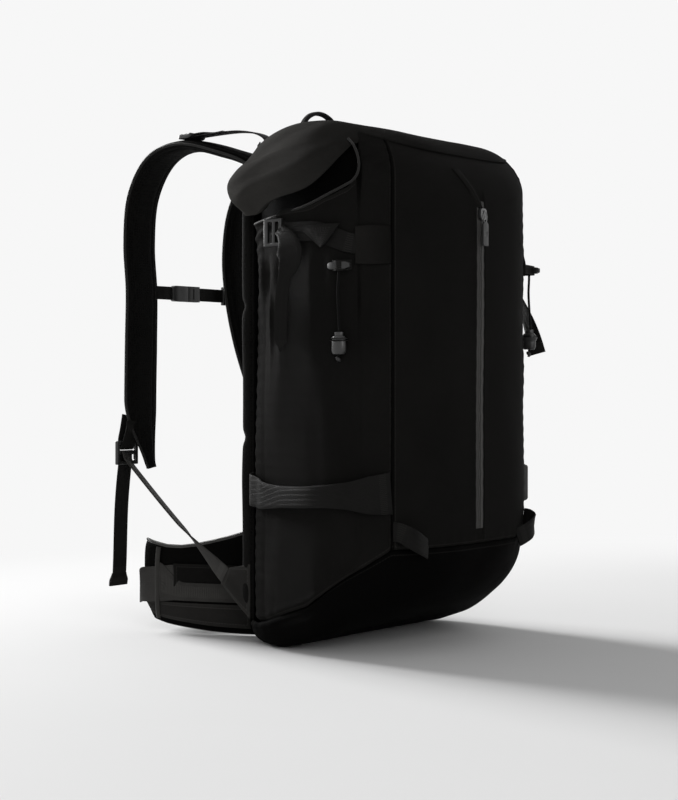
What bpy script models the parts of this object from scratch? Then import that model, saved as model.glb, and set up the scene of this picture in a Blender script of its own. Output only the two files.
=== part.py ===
"""Ski touring and avalanche-tool backpack: a roll-top bag with a padded harness and a hip belt.

Metres, +Z up. The pack stands on the flat strip under its wearer's side, and the origin is that
strip's middle. The outer face looks to -Y, the harness and the wearer are at +Y, and the wearer's
left is -X. Everything is laid out from the bag's own middle and moved to the origin at the end.
"""

from math import atan2, cos, pi, radians, sin, sqrt

import bmesh
import bpy
from mathutils import Vector

# ---------------------------------------------------------------- the bag's sizes, in metres

BAG_WIDTH = 0.280
BAG_FRONT = 0.110  # from the origin's plane to the outer face
BAG_BACK = 0.098  # from the origin's plane to the bag's wearer side
FRONT_POWER = 2.9  # how square the outer half of a level section is: 2 is an ellipse
BACK_POWER = 6.0
TOP_FRONT = 0.506  # height of the closed top over the outer face
TOP_BACK = 0.556  # and over the wearer's side

BASE_POWER = 2.3  # the outer half's power at the base
TOP_POWER = 3.0  # and the wearer's half's over the top
BASE_RADIUS_FRONT = 0.088
BASE_RADIUS_SIDE = 0.024
BASE_RADIUS_BACK = 0.014
TOP_RADIUS_FRONT = 0.058
TOP_RADIUS_SIDE = 0.028
TOP_RADIUS_BACK = 0.036
CROWN = 0.034  # how far the top's wearer side falls from its middle to its ends
LIFT_START = 0.055  # the base is flat behind this, and rises from here towards the outer face
LIFT_REACH = 0.115  # to this far in front of that
BASE_LIFT = 0.030
FOOT_Y = 0.069  # from the bag's middle to the middle of its flat strip
LIFT_FADE = 0.200  # height at which the rise has died out
BASE_SEAM_FRONT = 0.098  # height of the base panel's upper edge at the outer face
BASE_SEAM_BACK = 0.040

FABRIC = 0.0022  # an outer panel
LINER = 0.0022
SEAM_GAP = 0.0016  # between an outer panel and the liner
TOUCH = 0.0003  # between pieces that touch
HAIR = radians(0.15)  # half the gap between two panels that meet at a seam

COLUMNS = 40  # vertical lines round the bag
SEAM_COLUMNS = 5  # from the middle of the outer face to its seam, and likewise at the back

LOBE_DROP = 0.0654  # how far the roll top's ends hang down the sides
LOBE_SWELL = 0.0235  # how far the ends stand off the sides, and its shares from their top down:
LOBE_PROFILE = (0.73, 1.0, 1.04, 0.70, 0.32)
ROLL_FRONT_EDGE = 0.55  # where the roll top starts at the outer face, as a share of the curve over
ROLL_BACK_EDGE = 0.30
ROLL_FABRIC = 0.0030

# ---------------------------------------------------------------- harness and hardware sizes

WEBBING = 0.0016  # thickness of every webbing
STRAP_WEBBING = 0.020
BELT_WEBBING = 0.028
SHOULDER_WIDTH = 0.047
SHOULDER_THICK = 0.012
BACK_FOAM = 0.010
LUMBAR_THICK = 0.014
LUMBAR_HEIGHT = 0.088
LUMBAR_WIDTH = 0.150
WING_THICK = 0.011
WING_HEIGHT = 0.104
WING_BOTTOM = 0.0010
BAND_WIDTH = 0.023
BAND_GAP = 0.012  # between a ski band and the side that it holds skis to


# ---------------------------------------------------------------- helpers


def clear_scene():
    for thing in list(bpy.data.objects):
        bpy.data.objects.remove(thing, do_unlink=True)


def material(name, colour, roughness, metallic=0.0):
    made = bpy.data.materials.new(name)
    made.use_nodes = True
    shader = made.node_tree.nodes["Principled BSDF"]
    shader.inputs["Base Color"].default_value = (*colour, 1.0)
    shader.inputs["Roughness"].default_value = roughness
    shader.inputs["Metallic"].default_value = metallic
    return made


def lerp(a, b, share):
    return a + (b - a) * share


def smooth(share):
    """0 below 0, 1 above 1, and an S-curve between."""
    share = min(max(share, 0.0), 1.0)
    return share * share * (3 - 2 * share)


def powered(value, power):
    """The superellipse's own coordinate: value to 2/power, with value's sign."""
    return abs(value) ** (2 / power) * (1 if value >= 0 else -1)


def rounding(height, radius):
    """How far a round edge has pulled back at this height above where it starts."""
    if height >= radius:
        return 0.0
    return radius - sqrt(max(0.0, radius**2 - (radius - height) ** 2))


def add_object(name, points, faces, finish, origin=(0, 0, 0), crease=35):
    """A mesh object with outward faces and its origin where it turns or rests."""
    origin = Vector(origin)
    mesh = bpy.data.meshes.new(name)
    mesh.from_pydata([tuple(Vector(p) - origin) for p in points], [], faces)
    shape = bmesh.new()
    shape.from_mesh(mesh)
    bmesh.ops.recalc_face_normals(shape, faces=shape.faces)
    shape.to_mesh(mesh)
    shape.free()
    mesh.shade_smooth()
    mesh.set_sharp_from_angle(angle=radians(crease))
    mesh.materials.append(finish)
    thing = bpy.data.objects.new(name, mesh)
    thing.location = origin
    bpy.context.scene.collection.objects.link(thing)
    return thing


def loft(name, rings, finish, origin=(0, 0, 0), crease=35):
    """A solid through closed rings of as many points each, with both ends capped."""
    count = len(rings[0])
    points = [p for ring in rings for p in ring]
    faces = []
    for r in range(len(rings) - 1):
        for k in range(count):
            near, far = r * count, (r + 1) * count
            after = (k + 1) % count
            faces.append((near + k, near + after, far + after, far + k))
    faces.append(tuple(range(count)))
    faces.append(tuple(range((len(rings) - 1) * count, len(rings) * count)))
    return add_object(name, points, faces, finish, origin, crease)


def panel(name, outer, inner, finish, holes=(), origin=(0, 0, 0), crease=35):
    """A solid between two grids of points laid out alike, less the cells in holes."""
    rows, columns = len(outer), len(outer[0])
    points = [p for row in outer for p in row] + [p for row in inner for p in row]
    behind = rows * columns
    faces, rim = [], {}
    for r in range(rows - 1):
        for c in range(columns - 1):
            if (r, c) in holes:
                continue
            corner = r * columns + c
            quad = (corner, corner + 1, corner + columns + 1, corner + columns)
            faces += [quad, tuple(behind + k for k in quad)]
            for a, b in zip(quad, quad[1:] + quad[:1]):
                rim.pop((b, a), None) or rim.update({(a, b): True})
    faces += [(a, b, behind + b, behind + a) for a, b in rim]
    thing = add_object(name, points, faces, finish, origin, crease)
    clean_loose_points(thing.data)
    return thing


def split_twisted_faces(mesh):
    """Triangles in place of faces that aren't flat, so that the surface is the same for every reader."""
    shape = bmesh.new()
    shape.from_mesh(mesh)
    bmesh.ops.triangulate(shape, faces=[f for f in shape.faces if len(f.verts) == 4])
    shape.to_mesh(mesh)
    shape.free()


def clean_loose_points(mesh):
    shape = bmesh.new()
    shape.from_mesh(mesh)
    loose = [v for v in shape.verts if not v.link_faces]
    bmesh.ops.delete(shape, geom=loose, context="VERTS")
    shape.to_mesh(mesh)
    shape.free()


def curve_through(points, steps):
    """Points along a smooth curve through the given ones (Catmull-Rom)."""
    points = [Vector(p) for p in points]
    ends = [2 * points[0] - points[1]] + points + [2 * points[-1] - points[-2]]
    made = []
    for a, b, c, d in zip(ends, ends[1:], ends[2:], ends[3:]):
        for k in range(steps):
            t = k / steps
            made.append(
                0.5 * (2 * b + (c - a) * t + (2 * a - 5 * b + 4 * c - d) * t**2
                       + (3 * b - a - 3 * c + d) * t**3)
            )
    made.append(points[-1])
    return made


def along(values, share):
    """The value at a share of the way through a list of evenly spaced ones."""
    place = share * (len(values) - 1)
    k = min(int(place), len(values) - 2)
    return lerp(values[k], values[k + 1], place - k)


def tangents(path):
    ends = [path[0]] + list(path) + [path[-1]]
    return [(b - a).normalized() for a, b in zip(ends, ends[2:])]


def strip(name, path, across, widths, thickness, finish, origin=(0, 0, 0), edge=0.0):
    """Webbing or padding along a path. across gives the width's direction at each point.

    edge is how far the corners are cut back, which makes the section eight-sided.
    """
    rings = []
    count = len(path)
    for k, (point, tangent) in enumerate(zip(path, tangents(path))):
        share = k / (count - 1)
        side = Vector(across[k] if isinstance(across, list) else across)
        side = (side - tangent * side.dot(tangent)).normalized()
        up = tangent.cross(side)
        w, t = along(widths, share) / 2, along(thickness, share) / 2
        if edge:
            e = min(edge, t * 0.6)
            outline = [(w - 2 * e, t), (w, t - e), (w, e - t), (w - 2 * e, -t)]
            outline += [(-a, -b) for a, b in outline]
        else:
            outline = [(w, t), (w, -t), (-w, -t), (-w, t)]
        rings.append([point + side * a + up * b for a, b in outline])
    return loft(name, rings, finish, origin, crease=30)


def mirrored(side, point):
    """A point given for the wearer's right, on the side asked for: 1 is right and -1 is left."""
    return Vector((point[0] * side, point[1], point[2]))


SIDES = {"left": -1, "right": 1}

# ---------------------------------------------------------------- the bag's surface


def column_angle(column):
    """Angle of a vertical line round the bag. Column 0 is the middle of the outer face."""
    return -pi / 2 + 2 * pi * column / COLUMNS


def by_side(angle, front, side, back):
    """A value that goes from its front through its side to its back size round the bag."""
    return lerp(side, back if sin(angle) > 0 else front, sin(angle) ** 2)


def section(half_width, front, back, angle, front_power=FRONT_POWER, back_power=BACK_POWER):
    depth, power = (back, back_power) if sin(angle) > 1e-9 else (front, front_power)
    return half_width * powered(cos(angle), power), depth * powered(sin(angle), power)


def lift(y, z, inset):
    """How far the base has risen here, the same for every layer of it."""
    y *= BAG_FRONT / (BAG_FRONT - inset)
    return BASE_LIFT * smooth((LIFT_START - y) / LIFT_REACH) * max(0.0, 1 - z / LIFT_FADE)


def top_height(y, across=0.0):
    """Height of the top at this Y. across is 0 in its middle and 1 at its ends."""
    behind = smooth((y + 0.02) / (BAG_BACK + 0.02))
    return lerp(TOP_FRONT, TOP_BACK, (y + BAG_FRONT) / (BAG_FRONT + BAG_BACK)) - CROWN * behind * across**2


def wall_sizes(z, inset):
    return (
        BAG_WIDTH / 2 - inset - rounding(z - inset, BASE_RADIUS_SIDE - inset),
        BAG_FRONT - inset - rounding(z - inset, BASE_RADIUS_FRONT - inset),
        BAG_BACK - inset - rounding(z - inset, max(BASE_RADIUS_BACK - inset, 0.001)),
    )


def wall_top(angle):
    """Height at which the wall starts to curve over into the top."""
    across, y = section(1.0, BAG_FRONT, BAG_BACK, angle)
    radius = by_side(angle, TOP_RADIUS_FRONT, TOP_RADIUS_SIDE, TOP_RADIUS_BACK)
    return top_height(y, across) - radius


def base_seam(angle):
    """Height of the base panel's upper edge: high at the outer face and its corners."""
    forward = smooth((0.35 - sin(angle)) / 1.05)
    return lerp(BASE_SEAM_BACK, BASE_SEAM_FRONT, forward)


def wall_point(angle, z, inset, out=0.0):
    """A point of the bag's wall, at a height taken before the base is lifted."""
    z = max(z, inset)
    half_width, front, back = (size + out for size in wall_sizes(z, inset))
    x, y = section(half_width, front, back, angle, lerp(BASE_POWER, FRONT_POWER, smooth(z / 0.12)))
    return Vector((x, y, z + lift(y, z, inset)))


def top_point(angle, turn, inset, shrink=1.0, out=0.0):
    """A point where the wall curves over: turn 0 is the wall's top, 1 lies level."""
    side, front, back = (r - inset for r in (TOP_RADIUS_SIDE, TOP_RADIUS_FRONT, TOP_RADIUS_BACK))
    pull = 1 - cos(turn * pi / 2)
    x, y = section(
        BAG_WIDTH / 2 - inset - side * pull + out,
        BAG_FRONT - inset - front * pull + out,
        BAG_BACK - inset - back * pull,
        angle,
        back_power=lerp(BACK_POWER, TOP_POWER, smooth(turn)),
    )
    x, y = x * shrink, y * shrink
    radius = by_side(angle, front, side, back)
    height = top_height(y, x / (BAG_WIDTH / 2 - inset))
    return Vector((x, y, height - inset - radius * (1 - sin(turn * pi / 2))))


BASE_ROWS = (0.0, 0.09, 0.25, 0.52, 1.0)  # as shares of the base seam's height
WALL_ROWS = (0.2, 0.4, 0.62, 0.84, 0.93, 1.0)  # as shares of the way from there to the wall's top
TOP_ROWS = (0.15, 0.30, 0.55, 0.72)


def row_height(angle, row):
    """Height of a row: whole numbers up to the base seam's row, then up to the wall's top."""
    last = len(BASE_ROWS) - 1
    if row <= last:
        return base_seam(angle) * along(BASE_ROWS, row / last)
    share = along((0.0,) + WALL_ROWS, (row - last) / len(WALL_ROWS))
    return lerp(base_seam(angle), wall_top(angle), share)


def surface(angle, row, inset):
    """A point of the bag's surface by row: base, wall, then the start of the top."""
    last = len(BASE_ROWS) - 1 + len(WALL_ROWS)
    if row <= last:
        return wall_point(angle, row_height(angle, row), inset)
    return top_point(angle, along((0.0,) + TOP_ROWS, (row - last) / len(TOP_ROWS)), inset)


SEAM_ROW = len(BASE_ROWS) - 1
WALL_END_ROW = SEAM_ROW + len(WALL_ROWS)


def floor_rings(inset, shrinks=(0.12, 0.45, 0.78)):
    """Level rings inside the base's outline, from the middle outwards."""
    rings = []
    for shrink in shrinks:
        ring = []
        for c in range(COLUMNS):
            edge = wall_point(column_angle(c), inset, inset)
            x, y = edge.x * shrink, edge.y * shrink
            ring.append(Vector((x, y, inset + lift(y, inset, inset))))
        rings.append(ring)
    return rings


def row_ring(row, inset):
    return [surface(column_angle(c), row, inset) for c in range(COLUMNS)]


def bowl(name, end_row, outer_inset, thickness, finish):
    """The base with a wall up to a row, open at the top."""
    rows = [k for k in range(1, int(end_row) + 1)]
    if end_row > rows[-1]:
        rows.append(end_row)
    inner = outer_inset + thickness
    rings = floor_rings(outer_inset) + [row_ring(0, outer_inset)]
    rings += [row_ring(row, outer_inset) for row in rows]
    rings += [row_ring(row, inner) for row in reversed(rows)]
    rings += [row_ring(0, inner)] + floor_rings(inner)[::-1]
    return loft(name, rings, finish)


def patch(name, columns, rows, insets, finish, holes=()):
    """A panel of the wall between two columns and two rows, a hair short of its seams."""
    first, last = columns[0], columns[-1]

    def angle_of(column):
        nudge = HAIR * ((column == first) - (column == last))
        return column_angle(column) + nudge

    def row_of(row, column):
        return row(column) if callable(row) else row

    grids = [
        [[surface(angle_of(c), row_of(row, c), inset) for c in columns] for row in rows]
        for inset in insets
    ]
    return panel(name, grids[0], grids[1], finish, holes)


# ---------------------------------------------------------------- the bag's panels

ZIP_X = 0.0
ZIP_WIDTH = 0.012
ZIP_SLOT_CLEAR = 0.0006


def liner_bag(fabric):
    inset = FABRIC + SEAM_GAP
    end = WALL_END_ROW + 1
    return bowl("main_body", end, inset, LINER, fabric)


def base_panel(fabric):
    return bowl("base_panel", SEAM_ROW - 0.01, 0.0, FABRIC, fabric)


def zip_column(x):
    """The column angle at which the outer face has this X at mid height."""
    share = (abs(x) / (BAG_WIDTH / 2)) ** (FRONT_POWER / 2)
    away = atan2(share, sqrt(1 - share**2))
    return -pi / 2 + (away if x > 0 else -away)


def front_rows():
    rows = [SEAM_ROW + 0.01, SEAM_ROW + 0.25]
    rows += list(range(SEAM_ROW + 1, WALL_END_ROW + 1))
    rows += [WALL_END_ROW + 1, WALL_END_ROW + 2, WALL_END_ROW + 2.82]
    return rows


ZIP_FIRST_ROW, ZIP_LAST_ROW = 1, 8  # places in front_rows between which the slit runs


def front_angles():
    """Angles across the outer face: the bag's columns, with the zip's two edges between them."""
    middle = [column_angle(c) for c in range(-SEAM_COLUMNS, SEAM_COLUMNS + 1)]
    middle[0] += HAIR
    middle[-1] -= HAIR
    left, right = (zip_column(ZIP_X + s * ZIP_WIDTH / 2) for s in (-1, 1))
    kept = [a for a in middle if not left - radians(2.5) < a < right + radians(2.5)]
    return sorted(kept + [left, right]), left, right


def front_panel(fabric):
    """The outer face with its slit for the zip."""
    angles, left, _ = front_angles()
    slot = angles.index(left)
    grids = [[[surface(a, row, inset) for a in angles] for row in front_rows()]
             for inset in (0.0, FABRIC)]
    holes = {(r, slot) for r in range(ZIP_FIRST_ROW, ZIP_LAST_ROW)}
    return panel("front_panel", grids[0], grids[1], fabric, holes)


def zip_chain(tape):
    """Both rows of coil with the tape between them, lying in the outer face's slit."""
    _, left, right = front_angles()
    clear = ZIP_SLOT_CLEAR / ZIP_WIDTH * (right - left)
    rows = front_rows()[ZIP_FIRST_ROW : ZIP_LAST_ROW + 1]
    rows[0] += 0.02
    rows[-1] -= 0.02
    angles = [left + clear, lerp(left, right, 0.36), lerp(left, right, 0.64), right - clear]
    proud = (0.0002, 0.0009, 0.0009, 0.0002)
    grids = [
        [[surface(a, row, -p) for a, p in zip(angles, proud)] for row in rows],
        [[surface(a, row, FABRIC) for a in angles] for row in rows],
    ]
    return panel("zip_chain", grids[0], grids[1], tape)


def side_columns(side):
    return [side * c for c in range(SEAM_COLUMNS, COLUMNS // 2 - SEAM_COLUMNS + 1)]


SIDE_HEM = (0.7, -0.1, -1.13, -1.5, -1.75, -1.95)  # its rows from the wall's end, by column from the seam


def side_top_row(column):
    """The side panel's hem: low under the roll top's end, and rising to the front seam."""
    return WALL_END_ROW + SIDE_HEM[min(abs(column) - SEAM_COLUMNS, len(SIDE_HEM) - 1)]


def row_below_hem(column):
    if abs(column) == SEAM_COLUMNS:
        return WALL_END_ROW
    return (WALL_END_ROW - 2.1 + side_top_row(column)) / 2


def side_panels(fabric):
    rows = [SEAM_ROW + 0.01, *range(SEAM_ROW + 1, WALL_END_ROW - 2)]
    rows += [WALL_END_ROW - 2.1, row_below_hem, side_top_row]
    for word, side in SIDES.items():
        columns = side_columns(side)
        if side < 0:
            columns = columns[::-1]
        patch(f"side_panel_{word}", columns, rows, (0.0, FABRIC), fabric)


def back_columns():
    half = COLUMNS // 2
    return list(range(half - SEAM_COLUMNS, half + SEAM_COLUMNS + 1))


def back_panel(mesh_fabric):
    """The padded wall against the wearer's back."""
    rows = [SEAM_ROW + 0.01, SEAM_ROW + 0.2] + list(range(SEAM_ROW + 1, WALL_END_ROW + 1))
    columns = back_columns()
    edge = (columns[0], columns[-1])

    def angle_of(column):
        return column_angle(column) + HAIR * ((column == edge[0]) - (column == edge[1]))

    outer, inner = [], []
    for row in rows:
        slim = edge + (columns[1], columns[-2])
        thick = [0.0015 if c in slim or row in (rows[0], rows[-1]) else BACK_FOAM for c in columns]
        outer.append([surface(angle_of(c), row, -t) for c, t in zip(columns, thick)])
        inner.append([surface(angle_of(c), row, FABRIC) for c in columns])
    return panel("back_panel", outer, inner, mesh_fabric)


# ---------------------------------------------------------------- the roll top

ROLL_HINGE = Vector((0, BAG_BACK - 0.004, TOP_BACK - 0.014))
LOBE_ROWS = 6
CAP_ROWS = 6


def roll_edge(angle):
    """Where the roll top's edge lies: below 0 it hangs down the side, above 0 it is over the top."""
    away = abs(atan2(sin(angle + pi / 2), cos(angle + pi / 2)))  # from the middle of the outer face
    front = max(0.0, 1 - max(0.0, away - radians(45.5)) / radians(44.5)) ** 1.7
    back = smooth((away - radians(114)) / radians(21))
    return by_weight(front, back, ROLL_FRONT_EDGE, -1.0, ROLL_BACK_EDGE)


def by_weight(front, back, front_value, side_value, back_value):
    return side_value + (front_value - side_value) * front + (back_value - side_value) * back


def roll_point(angle, place, inset):
    """place runs from -1, the foot of a lobe, through 0, the wall's top, to 1, level."""
    if place >= 0:
        swell = LOBE_SWELL * lerp(0.38, LOBE_PROFILE[0], (1 - place) ** 2)
        return top_point(angle, place, inset, out=swell * abs(cos(angle)))
    swell = LOBE_SWELL * along(LOBE_PROFILE, -place)
    z = lerp(wall_top(angle), wall_top(0.0) - LOBE_DROP, -place)
    return wall_point(angle, z, inset, out=swell * lerp(0.4, 1.0, abs(cos(angle))))


def roll_ring(share, inset):
    """A ring of the roll top: share 0 is its edge and 1 its flat top's rim."""
    ring = []
    for c in range(COLUMNS):
        angle = column_angle(c)
        ring.append(roll_point(angle, lerp(roll_edge(angle), 1.0, share), inset))
    return ring


def roll_lid(inset, shrinks=(0.72, 0.4, 0.1)):
    return [[top_point(column_angle(c), 1.0, inset, shrink) for c in range(COLUMNS)] for shrink in shrinks]


def roll_top(fabric):
    """The rolled closure: a soft lid with ends that hang over both sides, hinged at the back."""
    steps = LOBE_ROWS + CAP_ROWS
    shares = [k / steps for k in range(steps + 1)]
    outer = [roll_ring(s, 0.0) for s in shares] + roll_lid(0.0)
    inner = [roll_ring(s, ROLL_FABRIC) for s in shares] + roll_lid(ROLL_FABRIC)
    return loft("roll_top", outer[::-1] + inner, fabric, ROLL_HINGE)


# ---------------------------------------------------------------- inside the bag

FRAME_CLEAR = 0.0005  # from the frame sheet to the liner's back wall
FRAME_SHEET = 0.0020
STAY_WIDTH = 0.025
STAY_THICK = 0.0030
FRAME_BOTTOM = 0.030
FRAME_TOP = 0.500
FRAME_WIDTH = 0.190
DIVIDER_FRONT = 0.014  # from the stay to the sleeve that it and a water bag stand behind


def slab(name, x_size, y_range, z_range, finish, corner=0.012, x_middle=0.0):
    """An upright sheet facing Y with rounded corners."""
    rings = []
    w, low, high = x_size / 2, z_range[0], z_range[1]
    outline = []
    for cx, cz, start in ((w - corner, high - corner, 0), (corner - w, high - corner, 90),
                          (corner - w, low + corner, 180), (w - corner, low + corner, 270)):
        for step in (0, 30, 60, 90):
            turn = radians(start + step)
            outline.append((x_middle + cx + corner * cos(turn), cz + corner * sin(turn)))
    for y in y_range:
        rings.append([Vector((x, y, z)) for x, z in outline])
    return loft(name, rings, finish)


def back_y(x, inset):
    """How far back the bag's wearer side is at this X, at this depth in its layers."""
    share = 1 - (abs(x) / (BAG_WIDTH / 2 - inset)) ** BACK_POWER
    return (BAG_BACK - inset) * share ** (1 / BACK_POWER)


def inside_back():
    """The frame sheet and its stay against the back wall, and the sleeve in front of them."""
    plastic = material("frame_plastic", (0.05, 0.05, 0.05), 0.4)
    metal = material("stay_metal", (0.6, 0.6, 0.62), 0.35, 1.0)
    lining = material("lining", (0.10, 0.10, 0.10), 0.7)
    wall = back_y(FRAME_WIDTH / 2, FABRIC + SEAM_GAP + LINER) - FRAME_CLEAR
    slab("frame_sheet", FRAME_WIDTH, (wall - FRAME_SHEET, wall), (FRAME_BOTTOM, FRAME_TOP), plastic, 0.03)
    stay_back = wall - FRAME_SHEET - TOUCH
    stay_front = stay_back - STAY_THICK
    stay_ends = (FRAME_BOTTOM + 0.02, FRAME_TOP - 0.02)
    slab("frame_stay", STAY_WIDTH, (stay_front, stay_back), stay_ends, metal, 0.008)
    sleeve_back = stay_front - TOUCH
    sleeve = (sleeve_back - LINER, sleeve_back)
    slab("sleeve", FRAME_WIDTH + 0.02, sleeve, (FRAME_BOTTOM, FRAME_TOP * 0.78), lining, 0.02)


# ---------------------------------------------------------------- zip slider and pull

SLIDER_SIZE = Vector((0.0095, 0.0042, 0.0115))
SLIDER_Z = 0.438
PULL_LENGTH = 0.034
PULL_WIDTH = 0.0085
PULL_THICK = 0.0024
ZIP_PROUD = 0.0012  # how far the coil's outside lies in front of the panel


def face_y(x, z):
    """The outer face's Y at a place below its curve over."""
    share = 1 - (abs(x) / (BAG_WIDTH / 2)) ** FRONT_POWER
    return -BAG_FRONT * share ** (1 / FRONT_POWER)


def box(name, low, high, finish, origin=(0, 0, 0)):
    rings = []
    for z in (low[2], high[2]):
        corners = ((low[0], low[1]), (high[0], low[1]), (high[0], high[1]), (low[0], high[1]))
        rings.append([Vector((x, y, z)) for x, y in corners])
    return loft(name, rings, finish, origin)


def teardrop(name, top, length, width, thick, finish, origin, hole=True):
    """A flat pull hanging in the XZ plane from its top, wider towards its foot."""
    rows, columns = 7, 4
    outer, inner = [], []
    for r in range(rows):
        share = r / (rows - 1)
        half = width / 2 * lerp(0.62, 1.0, smooth(share * 1.2)) * (1 - 0.35 * max(0, share - 0.8) / 0.2)
        z = top.z - length * share
        xs = [lerp(-half, half, c / (columns - 1)) for c in range(columns)]
        outer.append([Vector((top.x + x, top.y - thick / 2, z)) for x in xs])
        inner.append([Vector((top.x + x, top.y + thick / 2, z)) for x in xs])
    holes = {(1, 1)} if hole else ()
    return panel(name, outer, inner, finish, holes, origin)


def zip_hardware():
    """The slider on the coil and the pull that hangs from it."""
    metal = material("zip_slider_metal", (0.03, 0.03, 0.03), 0.4, 0.8)
    soft = material("zip_pull_fabric", (0.02, 0.02, 0.02), 0.7)
    y = face_y(ZIP_X, SLIDER_Z) - ZIP_PROUD - TOUCH
    low = Vector((ZIP_X - SLIDER_SIZE.x / 2, y - SLIDER_SIZE.y, SLIDER_Z - SLIDER_SIZE.z / 2))
    high = Vector((ZIP_X + SLIDER_SIZE.x / 2, y, SLIDER_Z + SLIDER_SIZE.z / 2))
    box("zip_slider", low, high, metal, (ZIP_X, y, SLIDER_Z))
    pivot = Vector((ZIP_X, low.y - TOUCH - PULL_THICK / 2, SLIDER_Z + 0.002))
    teardrop("zip_pull", pivot, PULL_LENGTH, PULL_WIDTH, PULL_THICK, soft, pivot)


# ---------------------------------------------------------------- shoulder straps

YOKE_Y = BAG_BACK + BACK_FOAM + TOUCH + SHOULDER_THICK / 2
SHOULDER_ROUTE = (
    (0.055, YOKE_Y, 0.442),
    (0.055, YOKE_Y + 0.002, 0.472),
    (0.060, YOKE_Y + 0.018, 0.500),
    (0.069, YOKE_Y + 0.060, 0.5175),
    (0.077, YOKE_Y + 0.112, 0.5290),
    (0.081, YOKE_Y + 0.156, 0.517),
    (0.080, YOKE_Y + 0.187, 0.478),
    (0.078, YOKE_Y + 0.196, 0.425),
    (0.078, YOKE_Y + 0.192, 0.372),
    (0.085, YOKE_Y + 0.185, 0.318),
    (0.096, YOKE_Y + 0.174, 0.264),
    (0.106, YOKE_Y + 0.163, 0.222),
    (0.110, YOKE_Y + 0.156, 0.184),
)
SHOULDER_STEPS = 2


def shoulder_path(side):
    return curve_through([mirrored(side, p) for p in SHOULDER_ROUTE], SHOULDER_STEPS)


def shoulder_straps(padding):
    """Curved padded straps from the top of the back panel to the chest."""
    for word, side in SIDES.items():
        path = shoulder_path(side)
        widths = [SHOULDER_WIDTH * w for w in (1.15, 1.1, 1.0, 1.0, 1.0, 1.0, 1.0, 0.92, 0.72)]
        thick = [SHOULDER_THICK * t for t in (1.0, 1.0, 1.0, 1.0, 1.0, 1.0, 1.0, 0.95, 0.8)]
        strip(f"shoulder_strap_{word}", path, Vector((1, 0, 0)), widths, thick, padding, edge=0.004)


LIFTER_FOOT = 0.508


def lifter_straps(webbing, plastic):
    """The webbing that pulls each shoulder strap's crest towards the top of the bag."""
    crest = SHOULDER_ROUTE[4]
    top = crest[2] + SHOULDER_THICK / 2 - TOUCH
    for word, side in SIDES.items():
        low = Vector((crest[0] - 0.010, crest[1] - 0.012, top + 0.0006))
        high = Vector((crest[0] + 0.014, crest[1] + 0.006, top + 0.0056))
        corners = sorted((low.x * side, high.x * side))
        box(f"lifter_buckle_{word}", (corners[0], low.y, low.z), (corners[1], high.y, high.z), plastic)
        x = crest[0] + 0.002
        route = [
            (x + 0.004, BAG_BACK + 0.0036, LIFTER_FOOT),
            (x + 0.003, BAG_BACK + 0.0090, LIFTER_FOOT + 0.020),
            (x + 0.001, lerp(BAG_BACK, low.y, 0.42), top + 0.0035),
            (x, low.y - TOUCH, top + 0.0031),
        ]
        path = curve_through([mirrored(side, p) for p in route], 3)
        strip(f"lifter_strap_{word}", path, (1, 0, 0), [0.014, 0.014], [WEBBING] * 2, webbing)


# ---------------------------------------------------------------- ladder locks, tails, lower webbing

LOCK_X = 0.122
LOCK_TOP = 0.204
LOCK_HEIGHT = 0.026
LOCK_THICK = 0.0046
LOCK_BAR = 0.0042
TAIL_LENGTH = 0.134
TAIL_END = 0.009
TAIL_END_WIDTH = 0.027
TAIL_DRIFT = 0.013
TAB_TOP = 0.082
TAB_BOTTOM = 0.026


def grid_plate(name, xs, zs, y_range, holes, finish, origin, swap=False):
    """A flat plate with rectangular windows, facing Y, or X when swapped."""
    layers = []
    for y in y_range:
        grid = [[Vector((y, x, z) if swap else (x, y, z)) for x in xs] for z in zs]
        layers.append(grid)
    return panel(name, layers[0], layers[1], finish, holes, origin)


def lock_front():
    """Y of the shoulder straps' front face where the ladder locks sit."""
    return SHOULDER_ROUTE[11][1] + SHOULDER_THICK / 2 - 0.0038


def ladder_locks(webbing, plastic):
    for word, side in SIDES.items():
        y = lock_front()
        half = STRAP_WEBBING / 2 + 0.001
        xs = [LOCK_X * side + v for v in (-half - LOCK_BAR, -half, half, half + LOCK_BAR)]
        gap = (LOCK_HEIGHT - 3 * LOCK_BAR) / 2
        zs = [LOCK_TOP - v for v in (0, LOCK_BAR, LOCK_BAR + gap, 2 * LOCK_BAR + gap,
                                     2 * LOCK_BAR + 2 * gap, LOCK_HEIGHT)]
        pivot = (LOCK_X * side, y + LOCK_THICK / 2, LOCK_TOP - LOCK_BAR / 2)
        grid_plate(f"ladder_lock_{word}", xs, zs, (y, y + LOCK_THICK), {(1, 1), (3, 1)}, plastic, pivot)
        tails(word, side, y + LOCK_THICK / 2, webbing)
        lower_webbing(word, side, webbing)


def tails(word, side, y, webbing):
    """The free end of the lower webbing, hanging from the ladder lock, its end folded to a grip."""
    top = LOCK_TOP - LOCK_HEIGHT - TOUCH
    x = LOCK_X * side
    bottom = top - TAIL_LENGTH
    path = [Vector((x, y + TAIL_DRIFT * k / 6, lerp(top, bottom + TAIL_END, k / 6))) for k in range(7)]
    path += [Vector((x, y + TAIL_DRIFT, bottom + TAIL_END - 0.0008)), Vector((x, y + TAIL_DRIFT, bottom))]
    widths = [STRAP_WEBBING] * 7 + [TAIL_END_WIDTH] * 2
    thick = [WEBBING] * 7 + [0.0045] * 2
    strip(f"strap_tail_{word}", path, (1, 0, 0), widths, thick, webbing, (x, y, top))


def corner_of_back(side, out):
    x, y = section(BAG_WIDTH / 2 + out, BAG_FRONT, BAG_BACK + out, radians(45))
    return Vector((x * side, y, 0))


def tab_apex(side):
    return corner_of_back(side, 0.0020) + Vector((0.0012 * side, 0.034, 0.068))


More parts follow.
